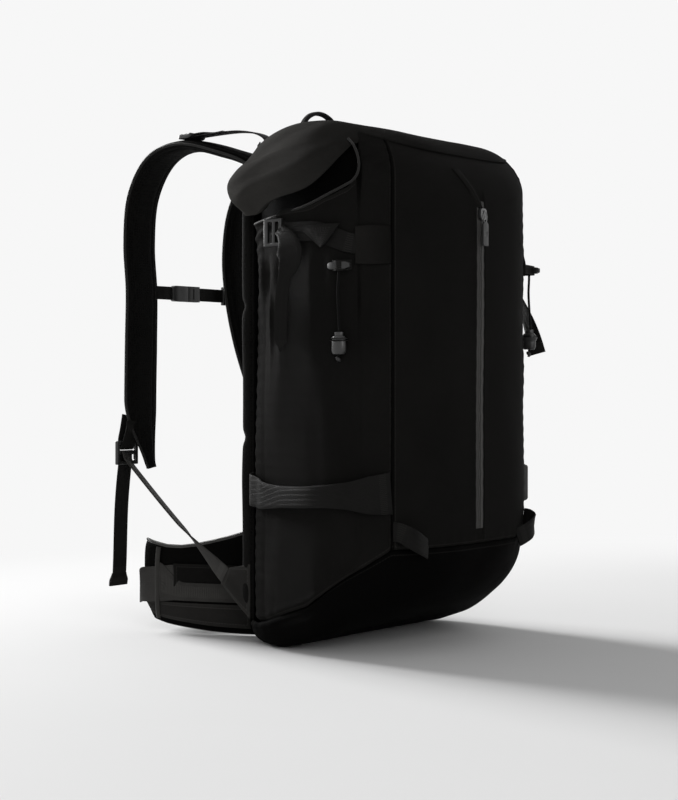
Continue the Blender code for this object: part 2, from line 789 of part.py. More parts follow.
def lower_webbing_end(side):
    return Vector((LOCK_X * side, lock_front() - 0.0022, LOCK_TOP - LOCK_HEIGHT + 0.002))


def upright_across(direction):
    """The direction across a webbing that stands on edge along its run."""
    return (Vector((0, 0, 1)) - direction * direction.z).normalized()


def lower_webbing(word, side, webbing):
    """Webbing from the base's corner up to the ladder lock, turning from upright to level on its way."""
    end = lower_webbing_end(side)
    direction = (end - tab_apex(side)).normalized()
    start = tab_apex(side) + direction * TOUCH
    path = [start.lerp(end, k / 8) for k in range(9)]
    upright = upright_across(direction)
    across = []
    for k in range(9):
        turn = smooth(k / 3) * pi / 2
        level = Vector((0.94 * side, 0, 0.34))
        across.append(level * sin(turn) + upright * cos(turn))
    thing = strip(f"lower_webbing_{word}", path, across, [STRAP_WEBBING] * 2, [WEBBING] * 2, webbing)
    split_twisted_faces(thing.data)


def corner_tabs(fabric):
    """The triangle that spreads the lower webbing's pull along the bag's back seam."""
    for word, side in SIDES.items():
        foot = corner_of_back(side, 0.0024)
        apex = tab_apex(side)
        edge = upright_across((lower_webbing_end(side) - apex).normalized()) * STRAP_WEBBING / 2
        along_tab = Vector((apex.x - foot.x, apex.y - foot.y, 0)).normalized()
        out = Vector((along_tab.y, -along_tab.x, 0)) * side * 0.001
        outline = [
            Vector((foot.x, foot.y, TAB_BOTTOM)),
            Vector((foot.x, foot.y, TAB_TOP)),
            apex + edge,
            apex - edge,
        ]
        loft(f"corner_tab_{word}", [[p - out for p in outline], [p + out for p in outline]], fabric)


# ---------------------------------------------------------------- chest strap

CHEST_Z = 0.372
CHEST_WEBBING = 0.016
CHEST_SLIDER = Vector((0.012, 0.0050, 0.022))
CHEST_SLIDER_X = 0.066
SOCKET_WALL = 0.0016
CHEST_CAVITY = Vector((0.0150, 0.0042, 0.0150))
CHEST_SOCKET_LENGTH = 0.023
CHEST_PLUG_LENGTH = 0.018
CHEST_POCKET = 0.016
FIT = 0.0006  # between a buckle's tongue and its socket, all round
MEET_X = 0.001  # where socket and plug meet


def block_ring(x, y, z, y_size, z_size, cut=0.0008):
    """A level-cut ring of a buckle, standing across X."""
    a, b = y_size / 2, z_size / 2
    outline = [(a, b - cut), (a - cut, b), (cut - a, b), (-a, b - cut)]
    outline += [(-p, -q) for p, q in outline]
    return [Vector((x, y + p, z + q)) for p, q in outline]


def socket(name, x_end, x_mouth, y, z, cavity, wall, finish):
    """The hollow half of a side-release buckle, open towards +X."""
    y_out, z_out = cavity.y + 2 * wall, cavity.z + 2 * wall
    rings = [
        block_ring(x_end, y, z, y_out * 0.72, z_out * 0.86),
        block_ring(x_end + 0.004, y, z, y_out, z_out),
        block_ring(x_mouth, y, z, y_out, z_out),
        block_ring(x_mouth, y, z, cavity.y, cavity.z),
        block_ring(x_mouth - cavity.x, y, z, cavity.y, cavity.z),
    ]
    return loft(name, rings, finish)


def plug(name, x_mouth, length, y, z, cavity, wall, pocket, webbing, finish):
    """The other half: a tongue for the socket, and behind it a slot that the webbing runs into."""
    start = x_mouth + TOUCH
    tongue_y, tongue_z = cavity.y - 2 * FIT, cavity.z - 2 * FIT
    y_out, z_out = cavity.y + 2 * wall, cavity.z + 2 * wall
    rings = [
        block_ring(x_mouth - cavity.x + FIT, y, z, tongue_y * 0.55, tongue_z * 0.6),
        block_ring(x_mouth - cavity.x * 0.6, y, z, tongue_y * 0.9, tongue_z),
        block_ring(start, y, z, tongue_y, tongue_z),
        block_ring(start, y, z, y_out, z_out),
        block_ring(start + length, y, z, y_out, z_out),
        block_ring(start + length, y, z, WEBBING + 2 * FIT, webbing + 2 * FIT, 0.0002),
        block_ring(start + length - pocket, y, z, WEBBING + 2 * FIT, webbing + 2 * FIT, 0.0002),
    ]
    return loft(name, rings, finish)


def chest_y():
    return SHOULDER_ROUTE[7][1] + SHOULDER_THICK / 2 - 0.0024


def chest_strap(webbing, plastic):
    y = chest_y() + CHEST_SLIDER.y / 2
    x_end = MEET_X - CHEST_SOCKET_LENGTH
    socket("sternum_socket", x_end, MEET_X, y, CHEST_Z, CHEST_CAVITY, SOCKET_WALL, plastic)
    plug("sternum_plug", MEET_X, CHEST_PLUG_LENGTH, y, CHEST_Z, CHEST_CAVITY, SOCKET_WALL,
         CHEST_POCKET, CHEST_WEBBING, plastic)
    edge = CHEST_SLIDER_X - CHEST_SLIDER.x / 2 - TOUCH
    inner = {"left": x_end - TOUCH, "right": MEET_X + TOUCH + CHEST_PLUG_LENGTH - 0.001}
    for word, side in SIDES.items():
        middle = Vector((CHEST_SLIDER_X * side, y, CHEST_Z))
        box(f"sternum_slider_{word}", middle - CHEST_SLIDER / 2, middle + CHEST_SLIDER / 2, plastic)
        xs = sorted((edge * side, inner[word]))
        path = [Vector((x, y, CHEST_Z)) for x in (xs[0], (xs[0] + xs[1]) / 2, xs[1])]
        strip(f"sternum_strap_{word}", path, (0, 0, 1), [CHEST_WEBBING] * 2, [WEBBING] * 2, webbing)


# ---------------------------------------------------------------- hip belt

WING_MIDDLE = WING_BOTTOM + WING_HEIGHT / 2
WING_PIVOT = Vector((LUMBAR_WIDTH / 2 + TOUCH + WING_THICK / 2, BAG_BACK + BACK_FOAM + 0.010, WING_MIDDLE))
WING_ROUTE = ((0, 0, 0), (0.011, 0.024, 0), (0.025, 0.056, 0), (0.038, 0.092, 0), (0.039, 0.124, 0.003))
BELT_Z = 0.043
BELT_BUCKLE_Y = 0.286
BELT_CAVITY = Vector((0.020, 0.0048, 0.026))
BELT_SOCKET_LENGTH = 0.034
BELT_PLUG_LENGTH = 0.022
BELT_POCKET = 0.010


def lumbar_pad(mesh_fabric):
    inner = BAG_BACK + BACK_FOAM + TOUCH
    slab("lumbar_pad", LUMBAR_WIDTH, (inner, inner + LUMBAR_THICK), (0.012, 0.012 + LUMBAR_HEIGHT),
         mesh_fabric, 0.018)


def wing_path(side):
    return curve_through([mirrored(side, WING_PIVOT + Vector(p)) for p in WING_ROUTE], 2)


def wing_out(path, side, distance):
    """The path moved out from the wing's middle, away from the wearer."""
    moved = []
    for point, tangent in zip(path, tangents(path)):
        moved.append(point + Vector((tangent.y, -tangent.x, 0)).normalized() * side * distance)
    return moved


def hip_belt(padding, webbing, plastic):
    """Both wings, the webbing on their outsides and the buckle in front."""
    x_end = MEET_X - BELT_SOCKET_LENGTH
    socket("hip_socket", x_end, MEET_X, BELT_BUCKLE_Y, BELT_Z, BELT_CAVITY, 0.0022, plastic)
    plug("hip_plug", MEET_X, BELT_PLUG_LENGTH, BELT_BUCKLE_Y, BELT_Z, BELT_CAVITY, 0.0022,
         BELT_POCKET, BELT_WEBBING - 0.004, plastic)
    inner = {"left": -x_end + TOUCH, "right": MEET_X + TOUCH + BELT_PLUG_LENGTH + TOUCH}
    for word, side in SIDES.items():
        path = wing_path(side)
        pivot = mirrored(side, WING_PIVOT)
        widths = [WING_HEIGHT * w for w in (0.88, 1.0, 1.0, 0.97, 0.76)]
        thick = [WING_THICK * t for t in (1.0, 1.0, 1.0, 1.0, 0.7)]
        strip(f"hip_wing_{word}", path, (0, 0, 1), widths, thick, padding, pivot, edge=0.004)
        outside = wing_out(path, side, WING_THICK / 2 + TOUCH + WEBBING / 2)[3:]
        outside = [Vector((p.x, p.y, BELT_Z)) for p in outside]
        last = outside[-1]
        end = Vector((inner[word] * side, BELT_BUCKLE_Y, BELT_Z))
        bend = [Vector((lerp(last.x, end.x, a), lerp(last.y, end.y, b), BELT_Z))
                for a, b in ((0.10, 0.42), (0.32, 0.76), (0.64, 0.94), (0.9, 0.995))]
        strip(f"hip_webbing_{word}", outside + bend + [end], (0, 0, 1), [BELT_WEBBING] * 2,
              [WEBBING] * 2, webbing, pivot)


# ---------------------------------------------------------------- side straps

COMPRESSION_Z_FRONT = 0.401
COMPRESSION_Z_BACK = 0.418
LOOSE = 0.0005  # from a strap's back to the side panel
SIDE_BUCKLE = Vector((0.0046, 0.024, 0.028))
SIDE_TAIL = 0.112


def side_point(side, angle, z, out):
    return mirrored(side, wall_point(angle, z, 0.0, out))


def compression_straps(fabric, webbing, plastic):
    """A wide tab at the front seam, webbing along the side, a buckle and its hanging tail."""
    for word, side in SIDES.items():
        out = LOOSE + WEBBING / 2
        angles = [radians(-44)] + [column_angle(c) for c in range(6, 11)] + [radians(1.2)]
        rise = COMPRESSION_Z_BACK - COMPRESSION_Z_FRONT
        path = [side_point(side, a, COMPRESSION_Z_FRONT + rise * ((a - angles[0]) / pi * 4) ** 3, out)
                for a in angles]
        widths = [0.037, 0.036, 0.033, 0.026, STRAP_WEBBING, STRAP_WEBBING, STRAP_WEBBING]
        strip(f"compression_strap_{word}", path, (0, 0, 1), widths, [WEBBING] * 2, fabric, path[0])
        end = path[-1]
        side_buckle(word, side, end, plastic)
        side_tail(word, side, end, webbing)


def side_buckle(word, side, end, plastic):
    y0, z0 = end.y + 0.0010, end.z
    half = STRAP_WEBBING / 2 + 0.0006
    rail = SIDE_BUCKLE.z / 2
    ys = [y0 + v for v in (0, 0.0036, 0.0090, 0.0126, 0.0190, SIDE_BUCKLE.y)]
    zs = [z0 + v for v in (-rail, -half, half, rail)]
    x = BAG_WIDTH / 2 + LOOSE
    xs = sorted((x * side, (x + SIDE_BUCKLE.x) * side))
    grid_plate(f"side_buckle_{word}", ys, zs, xs, {(1, 1), (1, 3)}, plastic, (0, 0, 0), swap=True)


def side_tail(word, side, end, webbing):
    """The compression webbing's free end, hanging in front of its buckle to a cut point."""
    x = (BAG_WIDTH / 2 + LOOSE + SIDE_BUCKLE.x + TOUCH + WEBBING / 2) * side
    start = Vector((x + 0.0002 * side, end.y + 0.006, end.z + 0.004))
    hang = Vector((0, -0.010, -SIDE_TAIL))
    if side > 0:
        hang = Vector((0.016, -0.086, -SIDE_TAIL))
    path = [start + hang * k / 6 for k in range(7)]
    widths = [0.016, 0.018, 0.020, 0.018, 0.017, 0.015, 0.005]
    strip(f"compression_tail_{word}", path, (0, 1, 0), widths, [WEBBING] * 2, webbing, path[0])


def ski_bands(webbing):
    """The lower band on each side that a ski's tail goes through."""
    for word, side in SIDES.items():
        columns = range(SEAM_COLUMNS, COLUMNS // 2 - SEAM_COLUMNS + 1)
        angles = [column_angle(c) for c in columns]
        angles[0] += radians(1)
        angles[-1] -= radians(3)
        count = len(angles) - 1
        path = []
        for k, angle in enumerate(angles):
            out = 0.0022 + BAND_GAP * sin(pi * (k / count) ** 1.2) ** 0.8
            path.append(side_point(side, angle, lerp(0.147, 0.160, k / count), out))
        widths = [0.042, 0.036, BAND_WIDTH, BAND_WIDTH, BAND_WIDTH, 0.030]
        strip(f"ski_band_{word}", path, (0, 0, 1), widths, [0.0022] * 2, webbing)


CORD = 0.0026
KEEPER_Z = {"left": 0.377, "right": 0.378}
KEEPER_ANGLE = {"left": radians(-15), "right": radians(-27)}
KEEPER_OUT = {"left": 0.0034, "right": 0.0110}  # how far its loop stands off the side panel
CORD_LENGTH = 0.092
CORD_LOCK = Vector((0.0075, 0.013, 0.021))
CORD_LOCK_DROP = 0.058


def ring_solid(name, rings, finish, origin=(0, 0, 0)):
    """A solid whose rings close on themselves, such as a block with a bore."""
    count = len(rings[0])
    points = [p for ring in rings for p in ring]
    faces = []
    for r in range(len(rings)):
        near, far = r * count, (r + 1) % len(rings) * count
        for k in range(count):
            after = (k + 1) % count
            faces.append((near + k, near + after, far + after, far + k))
    return add_object(name, points, faces, finish, origin)


def keepers(fabric, cord_finish, plastic):
    """A sewn keeper on each side, its elastic cord and the cord lock on it."""
    for word, side in SIDES.items():
        angles = [KEEPER_ANGLE[word] + radians(v) for v in (-12, 0, 12)]
        outs = (0.0021, KEEPER_OUT[word], 0.0021)
        run = [side_point(side, a, KEEPER_Z[word], out) for a, out in zip(angles, outs)]
        middle = run[1]
        strip(f"keeper_{word}", run, (0, 0, 1), [0.008] * 2, [0.0036] * 2, fabric)
        top = middle.z - 0.004 - TOUCH
        x = middle.x + side * 0.0016
        path = [Vector((x, middle.y + 0.001 * sin(k), top - CORD_LENGTH * k / 6)) for k in range(7)]
        rings = [circle_ring(p, CORD / 2) for p in path]
        loft(f"keeper_cord_{word}", rings, cord_finish)
        cord_lock(word, Vector((x, middle.y, top - CORD_LOCK_DROP)), plastic)


def circle_ring(centre, radius, count=8):
    return [centre + Vector((cos(t), sin(t), 0)) * radius
            for t in (2 * pi * k / count for k in range(count))]


def cord_lock(word, centre, plastic):
    """A small barrel with the cord running through its bore."""
    bore = CORD / 2 + 0.0011
    top, low = centre.z + CORD_LOCK.z / 2, centre.z - CORD_LOCK.z / 2
    rings = []
    for z, share in ((top, 0.8), (top - 0.003, 1.0), (low + 0.003, 1.0), (low, 0.8)):
        ring = circle_ring(Vector((centre.x, centre.y, z)), 1.0, 12)
        rings.append([Vector((centre.x + (p.x - centre.x) * CORD_LOCK.x / 2 * share,
                              centre.y + (p.y - centre.y) * CORD_LOCK.y / 2 * share, z)) for p in ring])
    rings += [circle_ring(Vector((centre.x, centre.y, z)), bore, 12) for z in (low, top)]
    ring_solid(f"cord_lock_{word}", rings, plastic, tuple(centre))


def axe_loops(webbing):
    """Low loops at the outer face's corners for the heads of ice axes."""
    for word, side in SIDES.items():
        angles = [column_angle(c) for c in (4.6, 4, 3.4, 2.8)]
        heights = (0.112, 0.104, 0.098, 0.104)
        outs = (0.0027, 0.0062, 0.0062, 0.0014)
        path = [side_point(side, a, z, o) for a, z, o in zip(angles, heights, outs)]
        path = curve_through(path, 2)
        strip(f"axe_loop_{word}", path, (0, 0, 1), [0.020, 0.018, 0.020], [0.0018] * 2, webbing)


LOOP_HALF = 0.030
LOOP_FOOT = 0.514
LOOP_SPRING = 0.530  # height at which the legs turn into the arch
LOOP_RISE = 0.032
LOOP_WIDTH = 0.011
LOOP_SEAT = 0.0021  # how far the back panel stands out where the handle is sewn on


def haul_loop(webbing):
    """The handle at the top of the back, an arch of webbing that stands on both its sewn feet."""
    seat = BAG_BACK + LOOP_SEAT + TOUCH
    y = seat + LOOP_WIDTH / 2
    path = [Vector((-LOOP_HALF, y, LOOP_FOOT))]
    for k in range(13):
        turn = pi * k / 12
        path.append(Vector((-LOOP_HALF * cos(turn), y, LOOP_SPRING + LOOP_RISE * sin(turn) ** 0.8)))
    path.append(Vector((LOOP_HALF, y, LOOP_FOOT)))
    strip("haul_loop", path, (0, 1, 0), [LOOP_WIDTH] * 2, [0.0026] * 2, webbing, (0, seat, LOOP_FOOT))


def main():
    clear_scene()
    fabric = material("shell_fabric", (0.012, 0.012, 0.011), 0.85)
    dark = material("base_fabric", (0.006, 0.006, 0.006), 0.8)
    tape = material("zip_tape", (0.03, 0.03, 0.028), 0.6)
    mesh_fabric = material("spacer_mesh", (0.008, 0.008, 0.008), 0.95)
    webbing = material("webbing", (0.02, 0.02, 0.019), 0.75)
    plastic = material("buckle_plastic", (0.02, 0.02, 0.02), 0.45)
    elastic = material("elastic_cord", (0.03, 0.03, 0.03), 0.7)
    liner_bag(fabric)
    base_panel(dark)
    front_panel(fabric)
    zip_chain(tape)
    zip_hardware()
    side_panels(fabric)
    back_panel(mesh_fabric)
    roll_top(fabric)
    inside_back()
    shoulder_straps(mesh_fabric)
    lifter_straps(webbing, plastic)
    ladder_locks(webbing, plastic)
    corner_tabs(fabric)
    chest_strap(webbing, plastic)
    lumbar_pad(mesh_fabric)
    hip_belt(mesh_fabric, webbing, plastic)
    compression_straps(fabric, webbing, plastic)
    ski_bands(webbing)
    keepers(fabric, elastic, plastic)
    axe_loops(webbing)
    haul_loop(webbing)
    for thing in bpy.context.scene.objects:
        thing.location.y -= FOOT_Y


main()
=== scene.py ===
"""The looks of a black ski touring backpack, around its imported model.

Metres, +Z up, the bag's outer face towards -Y and its harness towards +Y. The bag's surface is worked
out by the same sizes and curves as the model's, so cloth and straps lie where the solids lie.
"""

from math import asin, atan2, cos, exp, hypot, pi, radians, sin, sqrt

import bmesh
import bpy
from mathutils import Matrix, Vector, noise


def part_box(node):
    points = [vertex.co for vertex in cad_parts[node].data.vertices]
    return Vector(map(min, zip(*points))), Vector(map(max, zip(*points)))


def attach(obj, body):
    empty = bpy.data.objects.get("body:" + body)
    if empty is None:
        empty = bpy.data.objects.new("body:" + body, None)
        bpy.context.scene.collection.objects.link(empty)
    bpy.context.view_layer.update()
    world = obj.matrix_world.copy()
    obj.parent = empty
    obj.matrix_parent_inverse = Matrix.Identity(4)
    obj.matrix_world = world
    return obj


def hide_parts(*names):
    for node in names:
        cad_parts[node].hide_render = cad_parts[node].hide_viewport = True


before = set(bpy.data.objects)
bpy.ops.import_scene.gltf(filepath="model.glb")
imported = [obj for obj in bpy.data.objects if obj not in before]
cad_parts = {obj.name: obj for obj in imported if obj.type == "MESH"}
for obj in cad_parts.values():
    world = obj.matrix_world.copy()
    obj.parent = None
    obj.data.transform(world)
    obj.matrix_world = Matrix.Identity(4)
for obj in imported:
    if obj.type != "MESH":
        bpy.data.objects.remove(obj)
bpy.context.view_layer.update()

# ------------------------------------------------ the bag's sizes, as in the model

BAG_WIDTH = 0.280
BAG_FRONT = 0.110
BAG_BACK = 0.098
FRONT_POWER = 2.9
BACK_POWER = 6.0
TOP_FRONT = 0.506
TOP_BACK = 0.556
BASE_POWER = 2.3
TOP_POWER = 3.0
BASE_RADIUS = (0.088, 0.024, 0.014)  # outer face, sides, wearer's side
TOP_RADIUS = (0.058, 0.028, 0.036)
CROWN = 0.034
LIFT_START = 0.055
LIFT_REACH = 0.115
BASE_LIFT = 0.030
LIFT_FADE = 0.200
FOOT_Y = 0.069  # from the bag's middle to the middle of its flat strip
BASE_SEAM_FRONT = 0.090
BASE_SEAM_BACK = 0.026
BASE_SEAM_CURVE = 1.7  # how slowly the seam leaves its low stretch at the back
LOBE_DROP = 0.0654
LOBE_SWELL = 0.0235
ROLL_FRONT_EDGE = 0.55
ROLL_BACK_EDGE = 0.30
BACK_FOAM = 0.010
WEBBING = 0.0016  # thickness
STRAP_WIDTH = 0.0195
NARROW_STRAP_WIDTH = 0.0145
COLUMN = radians(9)  # places round the bag are counted in these, from the middle of its outer face
SIDES = {"left": -1, "right": 1}  # the wearer's

# ------------------------------------------------ small sums


def lerp(a, b, share):
    return a + (b - a) * share


def smooth(share):
    share = min(1.0, max(0.0, share))
    return share * share * (3 - 2 * share)


def along(values, share):
    place = min(1.0, max(0.0, share)) * (len(values) - 1)
    k = min(int(place), len(values) - 2)
    return lerp(values[k], values[k + 1], place - k)


def bump_at(value, middle, width):
    """1 at the middle, fading to nothing about two widths away."""
    return exp(-(((value - middle) / width) ** 2))


def shares(count, fine_ends=0.0):
    """Even shares from 0 to 1, closer together at both ends where fine_ends is above 0."""
    return [lerp(k / count, (1 - cos(pi * k / count)) / 2, fine_ends) for k in range(count + 1)]


def powered(value, power):
    return abs(value) ** (2 / power) * (1 if value >= 0 else -1)


def rounding(height, radius):
    if height >= radius:
        return 0.0
    return radius - sqrt(max(0.0, radius**2 - (radius - height) ** 2))


def ripple(point, size, depth, stretch=(1, 1, 1), seed=0):
    """A soft random swell of the cloth. size is the width of its folds, longer along stretch."""
    place = Vector(p / (size * s) for p, s in zip(point, stretch))
    return depth * noise.noise(place + Vector((7.3 * seed, 2.1 * seed, 3.7 * seed)))


def curve_through(points, steps):
    """A smooth curve through the points, with so many steps from each to the next."""
    points = [Vector(p) for p in points]
    ends = [2 * points[0] - points[1]] + points + [2 * points[-1] - points[-2]]
    curve = []
    for a, b, c, d in zip(ends, ends[1:], ends[2:], ends[3:]):
        for k in range(steps):
            t = k / steps
            curve.append(0.5 * (2 * b + (c - a) * t + (2 * a - 5 * b + 4 * c - d) * t**2
                                + (3 * b - a - 3 * c + d) * t**3))
    return curve + [points[-1]]


def running(steps):
    """Running totals, from nothing."""
    totals = [0.0]
    for step in steps:
        totals.append(totals[-1] + step)
    return totals


def runs_of(path):
    return running((b - a).length for a, b in zip(path, path[1:]))


def evenly(path, count):
    """The same path with so many points at even distances."""
    lengths = runs_of(path)
    out, k = [], 0
    for n in range(count):
        target = lengths[-1] * n / (count - 1)
        while k < len(path) - 2 and lengths[k + 1] < target:
            k += 1
        span = max(lengths[k + 1] - lengths[k], 1e-9)
        out.append(path[k].lerp(path[k + 1], (target - lengths[k]) / span))
    return out


def tangents(path):
    ends = [path[0]] + list(path) + [path[-1]]
    return [(b - a).normalized() for a, b in zip(ends, ends[2:])]


def mirrored(side, points):
    return [Vector((x * side, y, z)) for x, y, z in points]


def circle(radius, sides, squash=1.0):
    turns = [2 * pi * k / sides for k in range(sides)]
    return [(radius * cos(t), radius * squash * sin(t), 0) for t in turns]


def interior(low, high, *places):
    """Places between two ends, given as shares of the way."""
    return [lerp(low, high, place) for place in places]


# ------------------------------------------------ the bag's surface


def angle_at(side, away):
    return -pi / 2 + side * COLUMN * away


def away_of(angle):
    """How many columns an angle is from the middle of the outer face."""
    return abs(atan2(sin(angle + pi / 2), cos(angle + pi / 2))) / COLUMN


def by_side(angle, sizes):
    front, side, back = sizes
    return lerp(side, back if sin(angle) > 0 else front, sin(angle) ** 2)


def section(half_width, front, back, angle, front_power=FRONT_POWER, back_power=BACK_POWER):
    depth, power = (back, back_power) if sin(angle) > 1e-9 else (front, front_power)
    return half_width * powered(cos(angle), power), depth * powered(sin(angle), power)


def base_lift(y, z):
    return BASE_LIFT * smooth((LIFT_START - y) / LIFT_REACH) * max(0.0, 1 - z / LIFT_FADE)


def top_height(y, across=0.0):
    behind = smooth((y + 0.02) / (BAG_BACK + 0.02))
    height = lerp(TOP_FRONT, TOP_BACK, (y + BAG_FRONT) / (BAG_FRONT + BAG_BACK))
    return height - CROWN * behind * across**2


def wall_top(angle):
    """Height at which the wall starts to curve over into the top."""
    across, y = section(1.0, BAG_FRONT, BAG_BACK, angle)
    return top_height(y, across) - by_side(angle, TOP_RADIUS)


def base_seam(angle):
    forward = min(1.0, max(0.0, (0.35 - sin(angle)) / 1.05))
    return lerp(BASE_SEAM_BACK, BASE_SEAM_FRONT, forward**BASE_SEAM_CURVE)


def up_wall(angle, z):
    """The share of the way from the base's seam to the wall's top at which a height lies."""
    low, high = base_seam(angle), wall_top(angle)
    return (z - low) / (high - low)


def wall(angle, z, out=0.0):
    """A point of the bag's wall. out is how far it stands in front of the cloth's even surface."""
    z = max(z, 0.0)
    front_radius, side_radius, back_radius = BASE_RADIUS
    x, y = section(
        BAG_WIDTH / 2 - rounding(z, side_radius) + out,
        BAG_FRONT - rounding(z, front_radius) + out,
        BAG_BACK - rounding(z, back_radius) + out,
        angle,
        lerp(BASE_POWER, FRONT_POWER, smooth(z / 0.12)),
    )
    return Vector((x, y - FOOT_Y, z + base_lift(y, z)))


def crown(angle, turn, shrink=1.0, out=0.0, inset=0.0):
    """A point where the wall curves over: turn 0 is the wall's top, 1 lies level."""
    front, side, back = (r - inset for r in TOP_RADIUS)
    pull = 1 - cos(turn * pi / 2)
    x, y = section(
        BAG_WIDTH / 2 - inset - side * pull + out,
        BAG_FRONT - inset - front * pull + out,
        BAG_BACK - inset - back * pull,
        angle,
        back_power=lerp(BACK_POWER, TOP_POWER, smooth(turn)),
    )
    x, y = x * shrink, y * shrink
    radius = by_side(angle, (front, side, back))
    height = top_height(y, x / (BAG_WIDTH / 2 - inset)) - inset
    return Vector((x, y - FOOT_Y, height - radius * (1 - sin(turn * pi / 2))))


def over_top(angle, rise):
    """How far the crown has turned over, as a share, where it's this much above the wall's top."""
    return asin(min(1.0, rise / by_side(angle, TOP_RADIUS))) / (pi / 2)


def shell(angle, v, out=0.0):
    """The bag's surface from its base seam, v 0, by the wall's top, v 1, to level, v 2."""
    if v <= 1:
        return wall(angle, lerp(base_seam(angle), wall_top(angle), v), out)
    return crown(angle, v - 1, out=out)


# ------------------------------------------------ making meshes


def nothing_chosen():
    if bpy.context.mode != "OBJECT":
        bpy.ops.object.mode_set(mode="OBJECT")
    bpy.ops.object.select_all(action="DESELECT")


def alone(thing):
    nothing_chosen()
    thing.select_set(True)
    bpy.context.view_layer.objects.active = thing


def apply_modifier(thing, kind, **settings):
    alone(thing)
    modifier = thing.modifiers.new(kind.title(), kind)
    for name, value in settings.items():
        setattr(modifier, name, value)
    bpy.ops.object.modifier_apply(modifier=modifier.name)


def reworked(thing, work):
    mesh = bmesh.new()
    mesh.from_mesh(thing.data)
    work(mesh)
    mesh.to_mesh(thing.data)
    mesh.free()
    return thing


def facing_out(thing):
    return reworked(thing, lambda mesh: bmesh.ops.recalc_face_normals(mesh, faces=mesh.faces))


def from_points(name, points, faces, finishes, cut, hem, bands=None, crease=50):
    """A mesh with its cut pattern, in metres, as its UV map. hem is distance to a seam and run along it."""
    mesh = bpy.data.meshes.new(name)
    mesh.from_pydata([tuple(p) for p in points], [], faces)
    for label, flat in (("cut", cut), ("hem", hem)):
        layer = mesh.uv_layers.new(name=label)
        for loop, spot in zip(layer.data, flat):
            loop.uv = spot
    for finish in finishes:
        mesh.materials.append(finish)
    if bands:
        mesh.polygons.foreach_set("material_index", bands)
    mesh.shade_smooth()
    mesh.set_sharp_from_angle(angle=radians(crease))
    thing = bpy.data.objects.new(name, mesh)
    bpy.context.scene.collection.objects.link(thing)
    return thing


def cloth(name, place, across, up, thickness, finish, closed=False, seams=(True, True)):
    """A panel of cloth through place(u, v), u and v being lists of shares across and up it.

    A closed one goes all the way round the bag, and its last row has a lid.
    """
    rows = [[place(u, v) for u in across] for v in up]
    wide, high = len(across), len(up)
    middle_row = rows[high // 2]
    run_u = runs_of(middle_row)
    run_v = running(sum((q - p).length for p, q in zip(a, b)) / wide for a, b in zip(rows, rows[1:]))
    points = [p for row in rows for p in row]
    faces, cut, hem = [], [], []
    full = run_u[-1] + (middle_row[0] - middle_row[-1]).length * closed
    for r in range(high - 1):
        for c in range(wide if closed else wide - 1):
            n = (c + 1) % wide
            faces.append((r * wide + c, r * wide + n, (r + 1) * wide + n, (r + 1) * wide + c))
            for rr, cc in ((r, c), (r, c + 1), (r + 1, c + 1), (r + 1, c)):
                u = full if cc == wide else run_u[cc]
                v = run_v[rr]
                cut.append((u, v))
                to_side = min(u, full - u) if seams[0] else 1.0
                to_end = min(v, run_v[-1] - v) if seams[1] else 1.0
                hem.append((to_side, v) if to_side < to_end else (to_end, u))
    if closed:
        faces.append(tuple((high - 1) * wide + c for c in range(wide)))
        cut += [(p.x, p.y) for p in rows[-1]]
        hem += [(1.0, 0.0)] * wide
    thing = from_points(name, points, faces, [finish], cut, hem)
    outward = 0.0
    for face in thing.data.polygons:
        middle = Vector((0, -FOOT_Y, min(face.center.z, 0.45)))
        outward += face.normal.dot(face.center - middle) * face.area
    if outward < 0:
        thing.data.flip_normals()
    if thickness:
        apply_modifier(thing, "SOLIDIFY", thickness=thickness, offset=-1)
    return thing


def settle(thing, body, slot, *nodes):
    """What every piece needs: its body and the solids it stands for. Its slot, the record's finish for it, is
    not used.
    """
    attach(thing, body)
    if nodes:
        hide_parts(*nodes)
    return thing


def panel(name, place, across, up, thickness, finish, flat, *nodes, area=None, body="pack",
          slot="shell_fabric", held="stretched", **cut):
    """A panel of cloth. The flat piece that it was cut from, flat, is not used."""
    thing = settle(cloth(name, place, across, up, thickness, finish, **cut), body, slot, *nodes)


def sweep(name, path, across, outline, finishes, crease=40):
    """A strap or pad along a path. across gives the width's direction, and outline its section.

    Both can be functions of the share of the way. The section's points are (across, up, band), and band
    picks the finish of the face after it.
    """
    points, girths = [], []
    count = len(path)
    runs = runs_of(path)
    for k, (point, tangent) in enumerate(zip(path, tangents(path))):
        side = Vector(across(k / (count - 1)) if callable(across) else across)
        side = (side - tangent * side.dot(tangent)).normalized()
        rise = tangent.cross(side)
        ring = outline(k / (count - 1)) if callable(outline) else outline
        points += [point + side * a + rise * b for a, b, _ in ring]
        girths.append(running(hypot(c - a, d - b) for (a, b, _), (c, d, _) in zip(ring, ring[1:] + ring[:1])))
    size = len(ring)
    faces, cut, hem, bands = [], [], [], []
    for r in range(count - 1):
        for k in range(size):
            n = (k + 1) % size
            faces.append((r * size + k, r * size + n, (r + 1) * size + n, (r + 1) * size + k))
            for rr, kk in ((r, k), (r, k + 1), (r + 1, k + 1), (r + 1, k)):
                cut.append((girths[rr][kk], runs[rr]))
                hem.append((min(runs[rr], runs[-1] - runs[rr]), girths[rr][kk]))
            bands.append(ring[k][2])
    for r in (0, count - 1):
        end = [r * size + k for k in range(size)]
        faces.append(tuple(end if r else reversed(end)))
        cut += [(girths[r][k], runs[r]) for k in range(size)]
        hem += [(0.0, 0.0)] * size
        bands.append(ring[0][2])
    return facing_out(from_points(name, points, faces, finishes, cut, hem, bands, crease))


